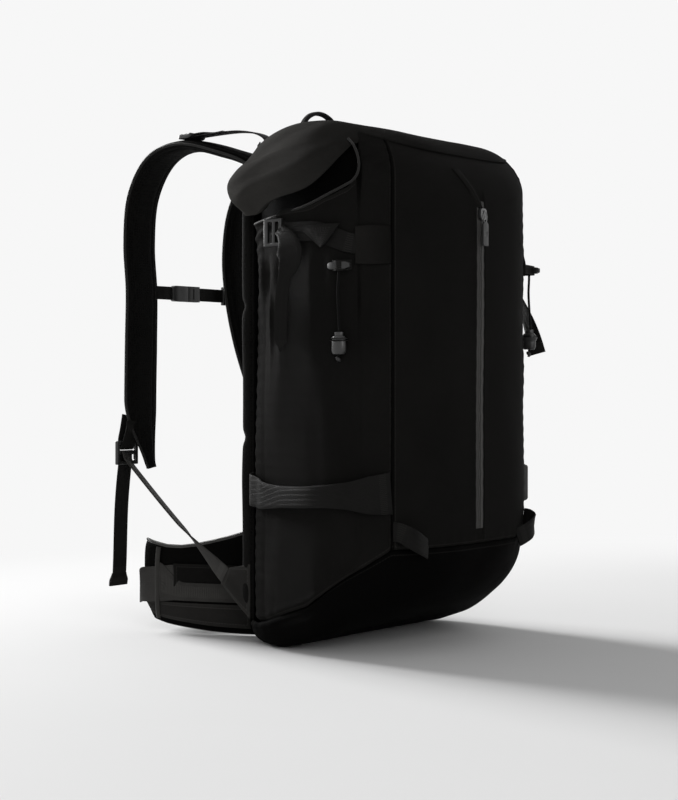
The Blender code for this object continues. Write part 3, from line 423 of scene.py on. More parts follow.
def ribbon(width, thickness, lanes=6):
    """The section of a webbing: flat on both sides with rounded edges."""
    r = thickness / 2
    flat = width / 2 - r
    top = [(lerp(flat, -flat, k / lanes), r, 0) for k in range(lanes + 1)]
    left = [(-flat - r * sin(t), r * cos(t), 0) for t in (pi / 3, 2 * pi / 3)]
    return top + left + [(-a, -b, 0) for a, b, _ in top + left]


def at(size, share):
    return size(share) if callable(size) else size


def strap(name, path, across, width, *nodes, finish=None, thickness=WEBBING, body="pack",
          held="stretched", steps=None):
    """A length of webbing along a path."""
    path = evenly(path, steps or max(12, int(runs_of(path)[-1] / 0.003)))
    thing = sweep(name, path, across, lambda s: ribbon(at(width, s), at(thickness, s)), [finish or STRAP])
    settle(thing, body, "webbing", *nodes)
    mean = sum(width(k / 20) for k in range(21)) / 21 if callable(width) else width
    max(runs_of(path)[-1], 0.0101)


# ------------------------------------------------ modelling as by hand


def named(name):
    thing = bpy.context.object
    thing.name = thing.data.name = name
    bpy.ops.object.transform_apply(location=True, rotation=True, scale=True)
    return thing


def block(name, low, high):
    nothing_chosen()
    low, high = Vector(low), Vector(high)
    bpy.ops.mesh.primitive_cube_add(size=1, location=(low + high) / 2, scale=high - low)
    return named(name)


def barrel(name, centre, size, sides):
    """A cylinder primitive at its size and place, ready to be edited."""
    nothing_chosen()
    bpy.ops.mesh.primitive_cylinder_add(vertices=sides, radius=0.5, depth=1, location=centre)
    thing = named(name)
    start_edit(thing)
    bpy.ops.mesh.select_all(action="SELECT")
    bpy.ops.transform.resize(value=size, center_override=centre)
    return thing


def torus(name, centre, turn, major, minor, around, across):
    nothing_chosen()
    bpy.ops.mesh.primitive_torus_add(location=centre, rotation=turn, major_radius=major, minor_radius=minor,
                                     major_segments=around, minor_segments=across)
    return named(name)


def start_edit(thing):
    alone(thing)
    bpy.ops.object.mode_set(mode="EDIT")
    bpy.ops.mesh.select_mode(type="FACE")


def choose_faces(thing, test):
    """Selects the faces whose centre and normal pass the test, and nothing else."""
    mesh = bmesh.from_edit_mesh(thing.data)
    for part in list(mesh.verts) + list(mesh.edges) + list(mesh.faces):
        part.select_set(False)
    for face in mesh.faces:
        if test(face.calc_center_median(), face.normal):
            face.select_set(True)
    bmesh.update_edit_mesh(thing.data)


def slice_at(axis, places):
    """Cuts the whole mesh in hand by planes across one axis, keeping both sides."""
    for place in places:
        bpy.ops.mesh.select_all(action="SELECT")
        bpy.ops.mesh.bisect(plane_co=[place * (k == axis) for k in range(3)],
                            plane_no=[float(k == axis) for k in range(3)])


def resize(thing, test, scale, centre):
    choose_faces(thing, test)
    bpy.ops.transform.resize(value=scale, center_override=centre)


def sink(thing, test, rim, depth):
    """Presses the chosen faces in, leaving a rim where one is given."""
    choose_faces(thing, test)
    if rim:
        bpy.ops.mesh.inset(thickness=rim)
    bpy.ops.mesh.extrude_region_shrink_fatten(TRANSFORM_OT_shrink_fatten={"value": -depth})


def pull(offset):
    bpy.ops.mesh.extrude_region_move(TRANSFORM_OT_translate={"value": offset})


def soften(thing, width, segments=2, angle=30):
    """Rounds the sharp edges, and ends the editing."""
    apply_modifier(thing, "BEVEL", width=width, segments=segments, limit_method="ANGLE",
                   angle_limit=radians(angle), harden_normals=False)
    alone(thing)
    bpy.ops.object.shade_smooth_by_angle(angle=radians(40))


def coat(thing, finish):
    thing.data.materials.clear()
    thing.data.materials.append(finish)
    return thing


def join(first, *others):
    """Makes one mesh of several."""
    alone(first)
    for thing in others:
        thing.select_set(True)
    bpy.ops.object.join()
    return first

# ------------------------------------------------ finishes


class Nodes:
    """A node tree being put together."""

    def __init__(self, tree):
        self.tree = tree

    def add(self, kind, inputs=(), **settings):
        made = self.tree.nodes.new("ShaderNode" + kind)
        for label, value in settings.items():
            setattr(made, label, value)
        for socket, value in dict(inputs).items():
            self.give(made.inputs[socket], value)
        return made

    def give(self, socket, value):
        if isinstance(value, bpy.types.Node):
            value = value.outputs[0]
        if isinstance(value, bpy.types.NodeSocket):
            self.tree.links.new(value, socket)
        else:
            socket.default_value = value

    def sum(self, operation, a, b=0.0, *c):
        return self.add("Math", dict(enumerate((a, b, *c))), operation=operation)

    def seen(self):
        """1 for the rays that show a thing as it looks, directly or in a reflection."""
        rays = self.add("LightPath").outputs
        return self.sum("MAXIMUM", rays["Is Camera Ray"], rays["Is Glossy Ray"])


class Paint(Nodes):
    """A material being put together from nodes, around one plain shader."""

    def __init__(self, name, roughness=0.6, **shader):
        self.finish = bpy.data.materials.new(name)
        self.finish.use_nodes = True
        super().__init__(self.finish.node_tree)
        self.shader = self.tree.nodes["Principled BSDF"]
        self.shader.inputs["Roughness"].default_value = roughness
        for label, value in shader.items():
            self.shader.inputs[label.replace("_", " ")].default_value = value
        self.whole = self.add("TexCoord").outputs["Object"]

    def parts(self, vector):
        return self.add("SeparateXYZ", {0: vector}).outputs

    def flat(self, label):
        return self.add("UVMap", uv_map=label).outputs[0]

    def times(self, a, b):
        return self.sum("MULTIPLY", a, b)

    def waves(self, value, pitch):
        return self.sum("SINE", self.times(value, 2 * pi / pitch))

    def noise(self, place, scale, detail=3.0):
        return self.add("TexNoise", {"Vector": place, "Scale": scale, "Detail": detail,
                                     "Roughness": 0.55}).outputs["Fac"]

    def stretched(self, place, scale):
        return self.noise(self.add("Mapping", {"Vector": place, "Scale": scale}), 1.0, 2.0)

    def ranged(self, value, to_low, to_high, low=0.3, high=0.7):
        inputs = {"Value": value, "From Min": low, "From Max": high, "To Min": to_low, "To Max": to_high}
        return self.add("MapRange", inputs)

    def tint(self, level, shade, warmth=0.04):
        scaled = {0: grey(level, warmth)[:3], "Scale": shade}
        return self.add("VectorMath", scaled, operation="SCALE").outputs[0]

    def mix(self, share, a, b):
        made = self.add("Mix", {0: share}, data_type="RGBA")
        self.give(made.inputs[6], a)
        self.give(made.inputs[7], b)
        return made.outputs[2]

    def bump(self, height, distance, strength=1.0, before=None):
        made = self.add("Bump", {"Height": height, "Distance": distance, "Strength": strength})
        if before is not None:
            self.give(made.inputs["Normal"], before)
        return made

    def done(self, colour, normal=None, roughness=None):
        for label, value in (("Base Color", colour), ("Normal", normal), ("Roughness", roughness)):
            if value is not None:
                self.give(self.shader.inputs[label], value)
        return self.finish


def grey(level, warmth=0.04):
    """A near-neutral colour, a little warm."""
    return (level * (1 + warmth), level, level * (1 - 1.5 * warmth), 1)


def cloth_finish(name, level, thread=0.00055, roughness=0.6, sheen=0.12, stitched=True, worn=0.35,
                 specular=0.3, painted_light_along_y=None):
    """Woven cloth: threads, a mottled dye, dust in the weave, and a row of stitches by its seams."""
    paint = Paint(name, roughness, Sheen_Weight=sheen, Sheen_Roughness=0.45, Specular_IOR_Level=specular)
    cut = paint.flat("cut")
    across, up, _ = paint.parts(cut)
    threads = paint.times(paint.waves(across, thread), paint.waves(up, thread))
    cloud = paint.noise(paint.whole, 14.0, 4.0)
    slub = paint.stretched(cut, (300, 2200, 1))
    shade = paint.sum("ADD", paint.ranged(cloud, 0.80, 1.16), paint.times(threads, 0.10))
    shade = paint.sum("ADD", shade, paint.ranged(slub, -0.08, 0.08))
    # Painted light: the colour is scaled along Y, darker towards the front as painted shade.
    if painted_light_along_y:
        low, high, to_low, to_high = painted_light_along_y
        shade = paint.times(shade, paint.ranged(paint.parts(paint.whole)[1], to_low, to_high, low, high))
    colour = paint.tint(level, shade)
    height = paint.times(threads, 0.6)
    if stitched:
        to_seam, run, _ = paint.parts(paint.flat("hem"))
        near = paint.sum("COMPARE", to_seam, 0.0034, 0.00042)
        dash = paint.sum("LESS_THAN", paint.sum("FRACT", paint.sum("DIVIDE", run, 0.0031)), 0.74)
        stitch = paint.times(near, dash)
        edge = paint.ranged(to_seam, worn, 0.0, 0.0, 0.0045)
        rub = paint.times(edge, paint.noise(paint.whole, 160.0, 3.0))
        colour = paint.mix(rub, colour, grey(level * 3.0 + 0.012))
        colour = paint.mix(stitch, colour, grey(level * 1.7 + 0.006))
        height = paint.sum("ADD", height, paint.times(stitch, 2.2))
    soft = paint.noise(paint.whole, 90.0, 4.0)
    normal = paint.bump(height, 0.00012, 0.9, paint.bump(soft, 0.0007, 0.35))
    return paint.done(colour, normal, paint.ranged(cloud, roughness - 0.06, roughness + 0.08, 0.25, 0.75))


def webbing_finish(name, level):
    """Woven strap: ribs across it in a herringbone, firm edges, and zigzag bar tacks by its ends."""
    rib, lane, tack, roughness = 0.0013, 0.0024, 0.012, 0.62
    paint = Paint(name, roughness, Sheen_Weight=0.01, Sheen_Roughness=0.4, Specular_IOR_Level=0.06)
    u, v, _ = paint.parts(paint.flat("cut"))
    slant = paint.sum("ADD", v, paint.times(paint.sum("PINGPONG", u, lane), 0.8))
    ribs = paint.waves(slant, rib)
    cloud = paint.noise(paint.whole, 60.0, 3.0)
    shade = paint.sum("ADD", paint.ranged(cloud, 0.82, 1.18), paint.times(ribs, 0.13))
    to_end, across, _ = paint.parts(paint.flat("hem"))
    zig = paint.sum("PINGPONG", to_end, 0.0009)
    row = paint.sum("FRACT", paint.sum("DIVIDE", paint.sum("ADD", across, zig), 0.0021))
    sewn = paint.times(paint.sum("LESS_THAN", to_end, tack), paint.sum("GREATER_THAN", to_end, tack - 0.0075))
    tacks = paint.times(sewn, paint.sum("LESS_THAN", row, 0.34))
    colour = paint.mix(tacks, paint.tint(level, shade), grey(level * 1.5 + 0.006))
    height = paint.sum("ADD", ribs, paint.times(paint.waves(u, lane), 0.45))
    height = paint.sum("ADD", height, paint.times(tacks, 1.6))
    rough = paint.ranged(cloud, roughness - 0.05, roughness + 0.07)
    return paint.done(colour, paint.bump(height, 0.00006), rough)


def mesh_finish(name, level):
    """Spacer mesh: a knitted face of fine threads with open hexagons, painted darker inside as painted shade
    in the holes.
    """
    paint = Paint(name, 0.8, Sheen_Weight=0.01, Sheen_Roughness=0.5, Specular_IOR_Level=0.03)
    holes = paint.add("TexVoronoi", {"Vector": paint.whole, "Scale": 1 / 0.0030, "Randomness": 0.35},
                      feature="DISTANCE_TO_EDGE")
    hole_depth_and_shade = paint.ranged(holes.outputs["Distance"], 0.0, 1.0, 0.10, 0.34)
    threads = paint.noise(paint.whole, 1900.0, 2.0)
    cloud = paint.ranged(paint.noise(paint.whole, 18.0, 3.0), 0.85, 1.15)
    shade = paint.times(cloud, paint.ranged(threads, 0.8, 1.2))
    # The holes are painted darker, as painted shade inside them.
    colour = paint.mix(hole_depth_and_shade, paint.tint(level, shade), grey(level * 0.3))
    height = paint.sum("SUBTRACT", paint.times(threads, 0.3), hole_depth_and_shade)
    return paint.done(colour, paint.bump(height, 0.0006, 0.8))


def plastic_finish(name, level, roughness=0.42, scale=900.0):
    """Moulded plastic: a fine spark texture, a duller bloom and rubbed places."""
    paint = Paint(name, roughness, Specular_IOR_Level=0.45)
    bloom = paint.noise(paint.whole, 70.0, 4.0)
    scuff = paint.ranged(paint.noise(paint.whole, 320.0, 5.0), 0.0, 0.35, 0.62, 0.72)
    plain = paint.tint(level, paint.ranged(bloom, 0.86, 1.2), 0.01)
    colour = paint.mix(scuff, plain, grey(level * 2 + 0.01, 0.0))
    grain = paint.bump(paint.noise(paint.whole, scale, 2.0), 0.00008, 0.6)
    return paint.done(colour, grain, paint.ranged(bloom, roughness - 0.07, roughness + 0.10))


def metal_finish(name, level, roughness, metallic, brushed=0.0):
    paint = Paint(name, roughness, Metallic=metallic)
    lines = paint.stretched(paint.whole, (900, 900, 30))
    colour = paint.tint(level, paint.ranged(paint.noise(paint.whole, 120.0, 3.0), 0.9, 1.1), 0.0)
    rough = paint.ranged(lines, roughness - 0.05, roughness + 0.08)
    return paint.done(colour, paint.bump(lines, 0.00004, brushed), rough)


def cord_finish(name, level):
    """Braided elastic cord, its strands crossing round it."""
    paint = Paint(name, 0.7, Sheen_Weight=0.02, Specular_IOR_Level=0.08)
    u, v, _ = paint.parts(paint.flat("cut"))
    strands = paint.times(*(paint.waves(paint.sum(way, v, u), 0.0016) for way in ("ADD", "SUBTRACT")))
    return paint.done(paint.tint(level, paint.ranged(strands, 0.72, 1.25, -1, 1)),
                      paint.bump(strands, 0.00018, 0.9))


PAINTED_LIGHT_ALONG_Y = (-0.17, -0.04, 0.16, 1.0)  # the roll top's colour is painted darker towards its front, as painted shade, and full behind: from Y to Y, share to share

SHELL = cloth_finish("shell cloth", 0.0070, roughness=0.78, sheen=0, specular=0.02)
# The roll top is the shell's cloth painted about four times lighter, as painted light on its lobes; the
# compression tabs take it too.
HOOD_PAINTED_LIT = cloth_finish("roll top cloth painted lit", 0.0290, roughness=0.78, sheen=0, stitched=False, specular=0.01,
                    painted_light_along_y=PAINTED_LIGHT_ALONG_Y)
BASE = cloth_finish("base cloth", 0.0014, 0.0009, 0.8, sheen=0, worn=0.03, specular=0.02)
# The lining is painted near black, darker than the shell, as painted shade in the recess under the roll top's
# ends.
LINING_PAINTED_SHADE = cloth_finish("lining", 0.0010, 0.0004, 0.7, sheen=0, stitched=False, specular=0.02)
TAPE = cloth_finish("zip tape", 0.032, 0.0007, 0.5, sheen=0.08, stitched=False, specular=0.2)
BINDING = cloth_finish("binding tape", 0.011, 0.0006, 0.6, sheen=0.08, stitched=False, specular=0.15)
# The wing's piping is painted far lighter than the other bindings, as a painted highlight along the wing's
# bound edges.
PIPING_PAINTED_HIGHLIGHT = cloth_finish("wing piping painted highlight", 0.042, 0.0005, 0.5, sheen=0.1, stitched=False, specular=0.25)
STRAP = webbing_finish("webbing", 0.0062)
BELT_BAND = webbing_finish("belt band webbing", 0.0290)
BELT_CLOTH = cloth_finish("belt cloth", 0.0190, roughness=0.75, sheen=0.01, specular=0.03)
MESH = mesh_finish("spacer mesh", 0.0042)
PADDING = cloth_finish("harness cloth", 0.0026, 0.0006, 0.8, sheen=0, worn=0, specular=0.02)
SLEEVE = cloth_finish("sleeve cloth", 0.035, 0.0005, 0.5)
PLASTIC = plastic_finish("buckle plastic", 0.0085)
DARK_METAL = metal_finish("slider metal", 0.14, 0.32, 0.9)
STAY = metal_finish("stay metal", 0.55, 0.30, 1.0, 0.5)
SHEET = plastic_finish("frame plastic", 0.045, 0.35, 400.0)
ELASTIC = cord_finish("elastic cord", 0.0015)

# ------------------------------------------------ camera, floor and lights

CAMERA_PLACE = (-1.321, -1.139, 0.27)
CAMERA_TURN = radians(51)  # from looking along +Y towards +X
CAMERA_SHIFT = (-0.070, -0.0238)
LENS = 72.7
FLOOR = 0.80
BACKGROUND = (0.93, 0.93, 0.93, 1)
ROOM_LIGHT = 0.30
SHADOW_MIDDLE = -0.36  # the floor fades into the background round this place along Y
FADE = (0.62, 1.30)  # and this far from it


def placed(name, data, place):
    thing = bpy.data.objects.new(name, data)
    thing.location = place
    bpy.context.scene.collection.objects.link(thing)
    return thing


def make_camera():
    data = bpy.data.cameras.new("camera")
    data.lens, data.sensor_width = LENS, 36
    data.shift_x, data.shift_y = CAMERA_SHIFT
    data.clip_start, data.clip_end = 0.05, 30
    camera = placed("camera", data, CAMERA_PLACE)
    camera.rotation_euler = (pi / 2, 0, -CAMERA_TURN)
    bpy.context.scene.camera = camera


def make_stage():
    """A pale floor that turns into an even pale background far from the bag."""
    nothing_chosen()
    bpy.ops.mesh.primitive_plane_add(size=24, location=(0, 0, -0.0005))
    floor = named("floor")
    paint = Paint("floor paper", 0.9, Specular_IOR_Level=0.1)
    paint.done(paint.tint(FLOOR, paint.ranged(paint.noise(paint.whole, 3.0), 0.985, 1.0), 0.0))
    shifted = paint.add("VectorMath", {0: paint.whole, 1: (0, SHADOW_MIDDLE, 0)}, operation="SUBTRACT")
    far = paint.add("VectorMath", {0: shifted.outputs[0]}, operation="LENGTH").outputs["Value"]
    away = paint.ranged(far, 0.0, 1.0, *FADE)
    away.interpolation_type = "SMOOTHSTEP"
    glow = paint.add("Emission", {"Color": BACKGROUND})
    mixed = paint.add("MixShader", {0: paint.times(away, paint.seen()), 1: paint.shader, 2: glow})
    paint.give(paint.tree.nodes["Material Output"].inputs["Surface"], mixed)
    coat(floor, paint.finish)


def make_world():
    """Even light from all round, and the same pale background where it's seen."""
    world = bpy.data.worlds.new("studio")
    bpy.context.scene.world = world
    world.use_nodes = True
    room = Nodes(world.node_tree)
    soft = room.tree.nodes["Background"]
    soft.inputs[0].default_value = (1, 1, 1, 1)
    soft.inputs[1].default_value = ROOM_LIGHT
    mixed = room.add("MixShader", {0: room.seen(), 1: soft, 2: room.add("Background", {0: BACKGROUND})})
    room.give(room.tree.nodes["World Output"].inputs[0], mixed)


def lamp(name, place, target, size, power):
    data = bpy.data.lights.new(name, "AREA")
    data.shape, data.size, data.energy = "DISK", size, power
    thing = placed(name, data, place)
    thing.rotation_euler = (Vector(target) - Vector(place)).to_track_quat("-Z", "Y").to_euler()


make_camera()
make_stage()
make_world()
lamp("key", (0.11, 4.9, 1.90), (0, -0.03, 0.25), 1.8, 500)
lamp("fill", (-1.7, -2.3, 1.1), (0, -0.03, 0.25), 1.8, 21)
lamp("rim", (2.2, 0.6, 1.2), (0, 0, 0.3), 1.5, 3)

# ------------------------------------------------ the bag's cloth

SEAM_COLUMN = 5  # from the middle of the outer face to its seams
CLOTH = 0.0012
ZIP_TOP = 0.4617
ZIP_FOOT = 0.1075
ZIP_GROOVE = 0.0010
BELLY = 0.0030  # how far the sides swell out at most
BELLY_Y = -0.030  # where along the bag's depth
BELLY_FALL = -0.0056  # and how far they draw in by the back corner
HEM_ROUTE = ((15.2, 0.428), (13.5, 0.430), (11.2, 0.433), (10, 0.4415), (9, 0.4505), (8, 0.4570),
             (7.35, 0.4650))  # columns and heights
LINER_INSET = 0.0075


def face_angle(x):
    """The angle round the bag at which the outer face has this X."""
    share = (abs(x) / (BAG_WIDTH / 2)) ** (FRONT_POWER / 2)
    away = atan2(share, sqrt(1 - share**2))
    return -pi / 2 + (away if x > 0 else -away)


def tucked(distance, depth=0.0022):
    """How far a panel falls back towards its seam, with the fold of its allowance beside it."""
    return 0.0005 * bump_at(distance, 0.0052, 0.0026) - depth * exp(-((distance / 0.0021) ** 2))


def puckers(run, distance, depth=0.0004, pitch=0.012, seed=0):
    """Small gathers that a seam's thread pulls into the cloth beside it."""
    wobble = 2.2 * noise.noise(Vector((run / 0.03, seed, 0)))
    return depth * exp(-distance / 0.011) * sin(2 * pi * run / pitch + wobble)


def near_zip(z):
    return smooth((z - ZIP_FOOT + 0.006) / 0.010) * smooth((ZIP_TOP + 0.004 - z) / 0.010)


def zip_groove(x):
    return ZIP_GROOVE * smooth((0.0068 - abs(x)) / 0.0014)


def front_relief(angle, v):
    spot = shell(angle, v)
    to_seam = (SEAM_COLUMN * COLUMN - abs(angle + pi / 2)) * 0.14
    to_base = v * 0.38
    out = ripple(spot, 0.13, 0.0026, (1, 1, 1.5), 1) + ripple(spot, 0.045, 0.0007, (0.8, 1, 2.4), 2)
    out += tucked(to_seam) + puckers(spot.z, to_seam, seed=3)
    out += tucked(to_base, 0.0016) + puckers(spot.x, to_base, 0.0006, 0.016, 4)
    zipped, x = near_zip(spot.z), abs(spot.x)
    out += zipped * (0.0007 * bump_at(x, 0.0082, 0.0024) + puckers(spot.z, x, 0.0003, 0.019, 5))
    return out - zipped * zip_groove(x)


def outer_face():
    seam = SEAM_COLUMN * COLUMN - radians(0.2)
    plain = [-pi / 2 + seam * (2 * s - 1) for s in shares(84, 0.35)]
    beside_zip = [face_angle(x * side) for x in (0.0012, 0.003, 0.005, 0.0058, 0.0066, 0.0074, 0.0086, 0.0105)
                  for side in (-1, 1)]
    angles = sorted([a for a in plain if not beside_zip[-2] <= a < beside_zip[-1]] + beside_zip)
    heights = shares(130, 0.25) + [1 + 0.62 * k / 26 for k in range(1, 27)]
    panel("outer_face", lambda a, v: shell(a, v, front_relief(a, v)), angles, heights, CLOTH, SHELL,
          (0.262, 0.420), "front_panel", area=0.105)


def hem_height(away):
    """Height of a side panel's hem, by columns from the middle of the outer face."""
    for (c0, z0), (c1, z1) in zip(HEM_ROUTE, HEM_ROUTE[1:]):
        if c1 < away <= c0:
            share = (c0 - away) / (c0 - c1)
            return lerp(z0, z1, smooth(share) * 0.4 + 0.6 * share)
    return HEM_ROUTE[-1][1]


def side_reach(angle):
    """How far up the bag's shell the side panel goes at this angle."""
    away = away_of(angle)
    return lerp(1.62, up_wall(angle, hem_height(away)), smooth((away - 6.95) / 0.42))


def side_swell(y):
    """The side's full belly: highest a little before its middle, and falling ever faster to the back."""
    if y < BELLY_Y:
        return BELLY * smooth((y - BELLY_Y + 0.050) / 0.050)
    return max(BELLY - 0.95 * (y - BELLY_Y) ** 2, BELLY_FALL + 0.10 * max(0.0, y - 0.066))


def side_relief(side, angle, v):
    spot = shell(angle, v)
    away = away_of(angle)
    to_front, to_back = (away - SEAM_COLUMN) * COLUMN * 0.105, (15 - away) * COLUMN * 0.03
    to_base = v * 0.40
    out = ripple(spot, 0.085, 0.0030, (1, 0.8, 1.7), 11 + side)
    out += ripple(spot, 0.030, 0.0009, (1, 0.7, 2.6), 13)
    out += tucked(to_front, 0.0026) + tucked(to_back, 0.0022)
    out += puckers(spot.z, to_front, 0.0005, 0.014, 6) + puckers(spot.z, to_back, 0.0005, 0.013, 7)
    out += tucked(to_base, 0.0016) + puckers(spot.y, to_base, 0.0007, 0.017, 8)
    out -= 0.0042 * bump_at(spot.z, 0.345, 0.040) * bump_at(spot.y, -0.138, 0.013)
    out += side_swell(spot.y + FOOT_Y)
    folds = bump_at(away, 10.95, 0.16) + 1.2 * bump_at(away, 10.28, 0.13)
    out += 0.0022 * folds * bump_at(spot.z, 0.335, 0.040)
    out += 0.0016 * bump_at(spot.z, 0.375, 0.020) * sin(2 * pi * spot.y / 0.026 + 1.1)
    fold = spot.z + 0.45 * (spot.y + 0.07)
    return out + 0.0011 * bump_at(fold, 0.455, 0.016) * sin(2 * pi * fold / 0.014)


def side_faces():
    for word, side in SIDES.items():
        def place(away, t):
            angle = angle_at(side, away)
            v = t * side_reach(angle)
            return shell(angle, v, side_relief(side, angle, v))

        columns = [c for c in (lerp(5.02, 14.98, s) for s in shares(84, 0.2)) if not 6.94 < c < 7.37]
        columns = sorted(columns + [6.98 + 0.05 * k for k in range(8)])  # closer where the hem turns up
        panel(f"side_face_{word}", place, columns, shares(150, 0.25), CLOTH, SHELL, (0.232, 0.420),
              f"side_panel_{word}", area=0.082)


def side_spot(side, away, z, proud):
    """A place on a side or corner of the bag, proud of its cloth's own folds."""
    angle = angle_at(side, away)
    v = up_wall(angle, z)
    relief = side_relief(side, angle, v) if away > SEAM_COLUMN else front_relief(angle, v)
    return wall(angle, z, proud + relief)


def hem_bindings():
    """The bound edge of each side panel, which curls up and back under the roll top's fold."""
    for word, side in SIDES.items():
        spots = ((14.9, 0.430, 0.0), (13.5, 0.430, 0.0003), (11.2, 0.4335, 0.0006), (10, 0.442, 0.0010),
                 (9, 0.4515, 0.0016), (8.1, 0.4585, 0.0024), (7.5, 0.4640, 0.0032), (7.18, 0.4735, 0.0036),
                 (7.20, 0.4850, 0.0040))
        route = [side_spot(side, *spot) for spot in spots]
        angle = angle_at(side, 7.42)
        route += [crown(angle, 0.22, out=0.0042), crown(angle + side * radians(3.5), 0.34, out=0.0020)]
        path = evenly(curve_through(route, 8), 130)
        thing = sweep(f"hem_binding_{word}", path, (0.2, 0, 1), circle(0.0013, 12, 0.9), [BINDING])
        settle(thing, "pack", "shell_fabric")


def base_relief(angle, z):
    spot = wall(angle, z)
    to_seam = base_seam(angle) - z
    out = ripple(spot, 0.06, 0.0022, seed=21) + ripple(spot, 0.024, 0.0008, seed=22)
    out += tucked(to_seam, 0.0018) + puckers(angle * 0.12, to_seam, 0.0006, 0.018, 9)
    return smooth(z / 0.03) * out


def base_cloth():
    """The tougher cloth of the foot: one bowl up to the seam with the other panels."""
    def place(turn, t):
        angle = 2 * pi * turn
        if t < 1:
            edge = wall(angle, 0.0)
            y = (edge.y + FOOT_Y) * t
            return Vector((edge.x * t, y - FOOT_Y, base_lift(y, 0.0) + 0.0004 + 0.0006 * (1 - t)))
        z = (t - 1) * (base_seam(angle) - 0.0004)
        spot = wall(angle, z, base_relief(angle, z))
        return Vector((spot.x, spot.y, max(spot.z, 0.0004)))

    rings = [0.03, 0.15, 0.3, 0.45, 0.6, 0.72, 0.82, 0.9, 0.96] + [1 + s for s in shares(40, 0.4)]
    panel("base_cloth", place, [k / 160 for k in range(160)], rings[::-1], 0.0014, BASE, (0.40, 0.36),
          "base_panel", area=0.110, slot="base_fabric", closed=True, seams=(False, True))


def liner():
    """The bag's waterproof inner wall, open at the top under the roll."""
    def place(turn, t):
        angle = 2 * pi * turn
        if t < 1:
            edge = wall(angle, 0.004, -LINER_INSET)
            y = (edge.y + FOOT_Y) * t
            return Vector((edge.x * t, y - FOOT_Y, base_lift(y, 0.0) + 0.0046))
        if t < 2:
            z = lerp(0.0046, wall_top(angle), t - 1)
            slack = ripple(wall(angle, z), 0.05, 0.0012, (1, 1, 2), 31) - 0.0006
            return wall(angle, z, slack * smooth((t - 1) * 8) - LINER_INSET)
        return crown(angle, t - 2, inset=LINER_INSET)

    rings = [0.04, 0.3, 0.6, 0.85] + [1 + s for s in shares(60)] + [2.08, 2.18, 2.3, 2.45, 2.6]
    panel("liner", place, [k / 120 for k in range(120)], rings[::-1], 0.0008, LINING_PAINTED_SHADE, (0.76, 0.66),
          "main_body", area=0.40, closed=True, seams=(False, False))


def seam_piping():
    """Thin piping in the seams between the outer face and the sides."""
    for word, side in SIDES.items():
        heights = [k / 120 for k in range(121)] + [1 + 0.02 * k for k in range(1, 30)]
        path = [shell(angle_at(side, SEAM_COLUMN), v, -0.0006) for v in heights]
        thing = sweep(f"front_piping_{word}", path, (1, 0, 0), circle(0.0011, 8), [PADDING])
        settle(thing, "pack", "shell_fabric")


# ------------------------------------------------ the roll top

HOOD_CLOTH = 0.0014
LOBE_FOOT = wall_top(0.0) - LOBE_DROP
HOOD_EDGE = ((7.30, 0.500), (7.55, 0.4990), (7.9, 0.4945), (8.4, 0.4855), (9, 0.4730), (10, 0.4550),
             (11, LOBE_FOOT), (12.4, LOBE_FOOT))  # columns and heights
SWELL = [p.x for p in curve_through([(v, 0, 0) for v in (-0.10, -0.05, 0.18, 0.76, 1.08, 1.0)], 12)]


def hood_edge(angle):
    """Where the roll top's edge lies: below 0 it hangs down the side, above 0 it is over the top."""
    away = away_of(angle)
    if away < HOOD_EDGE[0][0]:
        return lerp(ROLL_FRONT_EDGE, 0.26, smooth((away - 6.85) / (HOOD_EDGE[0][0] - 6.85)))
    z = HOOD_EDGE[-1][1]
    for (c0, z0), (c1, z1) in zip(HOOD_EDGE, HOOD_EDGE[1:]):
        if c0 <= away <= c1:
            z = lerp(z0, z1, (away - c0) / (c1 - c0))
            break
    top = wall_top(angle)
    beside = over_top(angle, z - top) if z > top else -(top - z) / (top - LOBE_FOOT)
    return lerp(beside, ROLL_BACK_EDGE, smooth((away - 12.4) / 2.5))


def hood_swell(angle, place, above_edge):
    """How far the roll top stands off the bag: most at its ends, and turned in along their lower edge."""
    full = SWELL[round(min(1.0, max(0.0, (1 - place) / 2)) * (len(SWELL) - 1))]
    sides = smooth((away_of(angle) - 6.6) / 2.6) * lerp(0.45, 1.0, abs(cos(angle)))
    curl = 1 - 0.62 * exp(-((above_edge / 0.012) ** 2))
    return LOBE_SWELL * full * sides * curl + 0.0008


def hood_relief(spot, lobe):
    """Soft folds: long ones along each end's roll and small ones where the cloth turns."""
    out = ripple(spot, 0.07, 0.0042, (1, 1.6, 1), 41) + ripple(spot, 0.03, 0.0012, (1.5, 1, 1), 42)
    crease = spot.z + 0.55 * (spot.y + FOOT_Y) - 0.47
    return out + lobe * 0.0014 * sin(2 * pi * crease / 0.034)


def hood_place(angle, place, out=0.0):
    if place >= 0:
        return crown(angle, place, out=out)
    return wall(angle, lerp(wall_top(angle), LOBE_FOOT, -place), out)


def hood_point(turn, s):
    """s is below 0 in the lip turned in under the edge, 0 at the edge, 1 level and 2 in the middle."""
    angle = 2 * pi * turn
    if s > 1:
        flat = crown(angle, 1.0, shrink=2 - s)
        return flat + Vector((0, 0, 0.55 * hood_relief(flat, 0.0) * smooth((s - 1) * 6) + 0.0004))
    edge = hood_edge(angle)
    place = lerp(edge, 1.0, max(0.0, s))
    even = hood_place(angle, place)
    above = (even - hood_place(angle, edge)).length
    away, lip = away_of(angle), max(0.0, -s)
    lobe = smooth((away - 6.8) / 2.0) * smooth((15.5 - away) / 1.5)
    out = hood_swell(angle, place, above) + hood_relief(even, lobe) * smooth(above / 0.016) * 0.9
    spot = hood_place(angle, place, out - 0.0075 * lip * lobe - 0.0030 * lip)
    return spot + Vector((0, 0, 0.0085 * lip * lip * lobe))


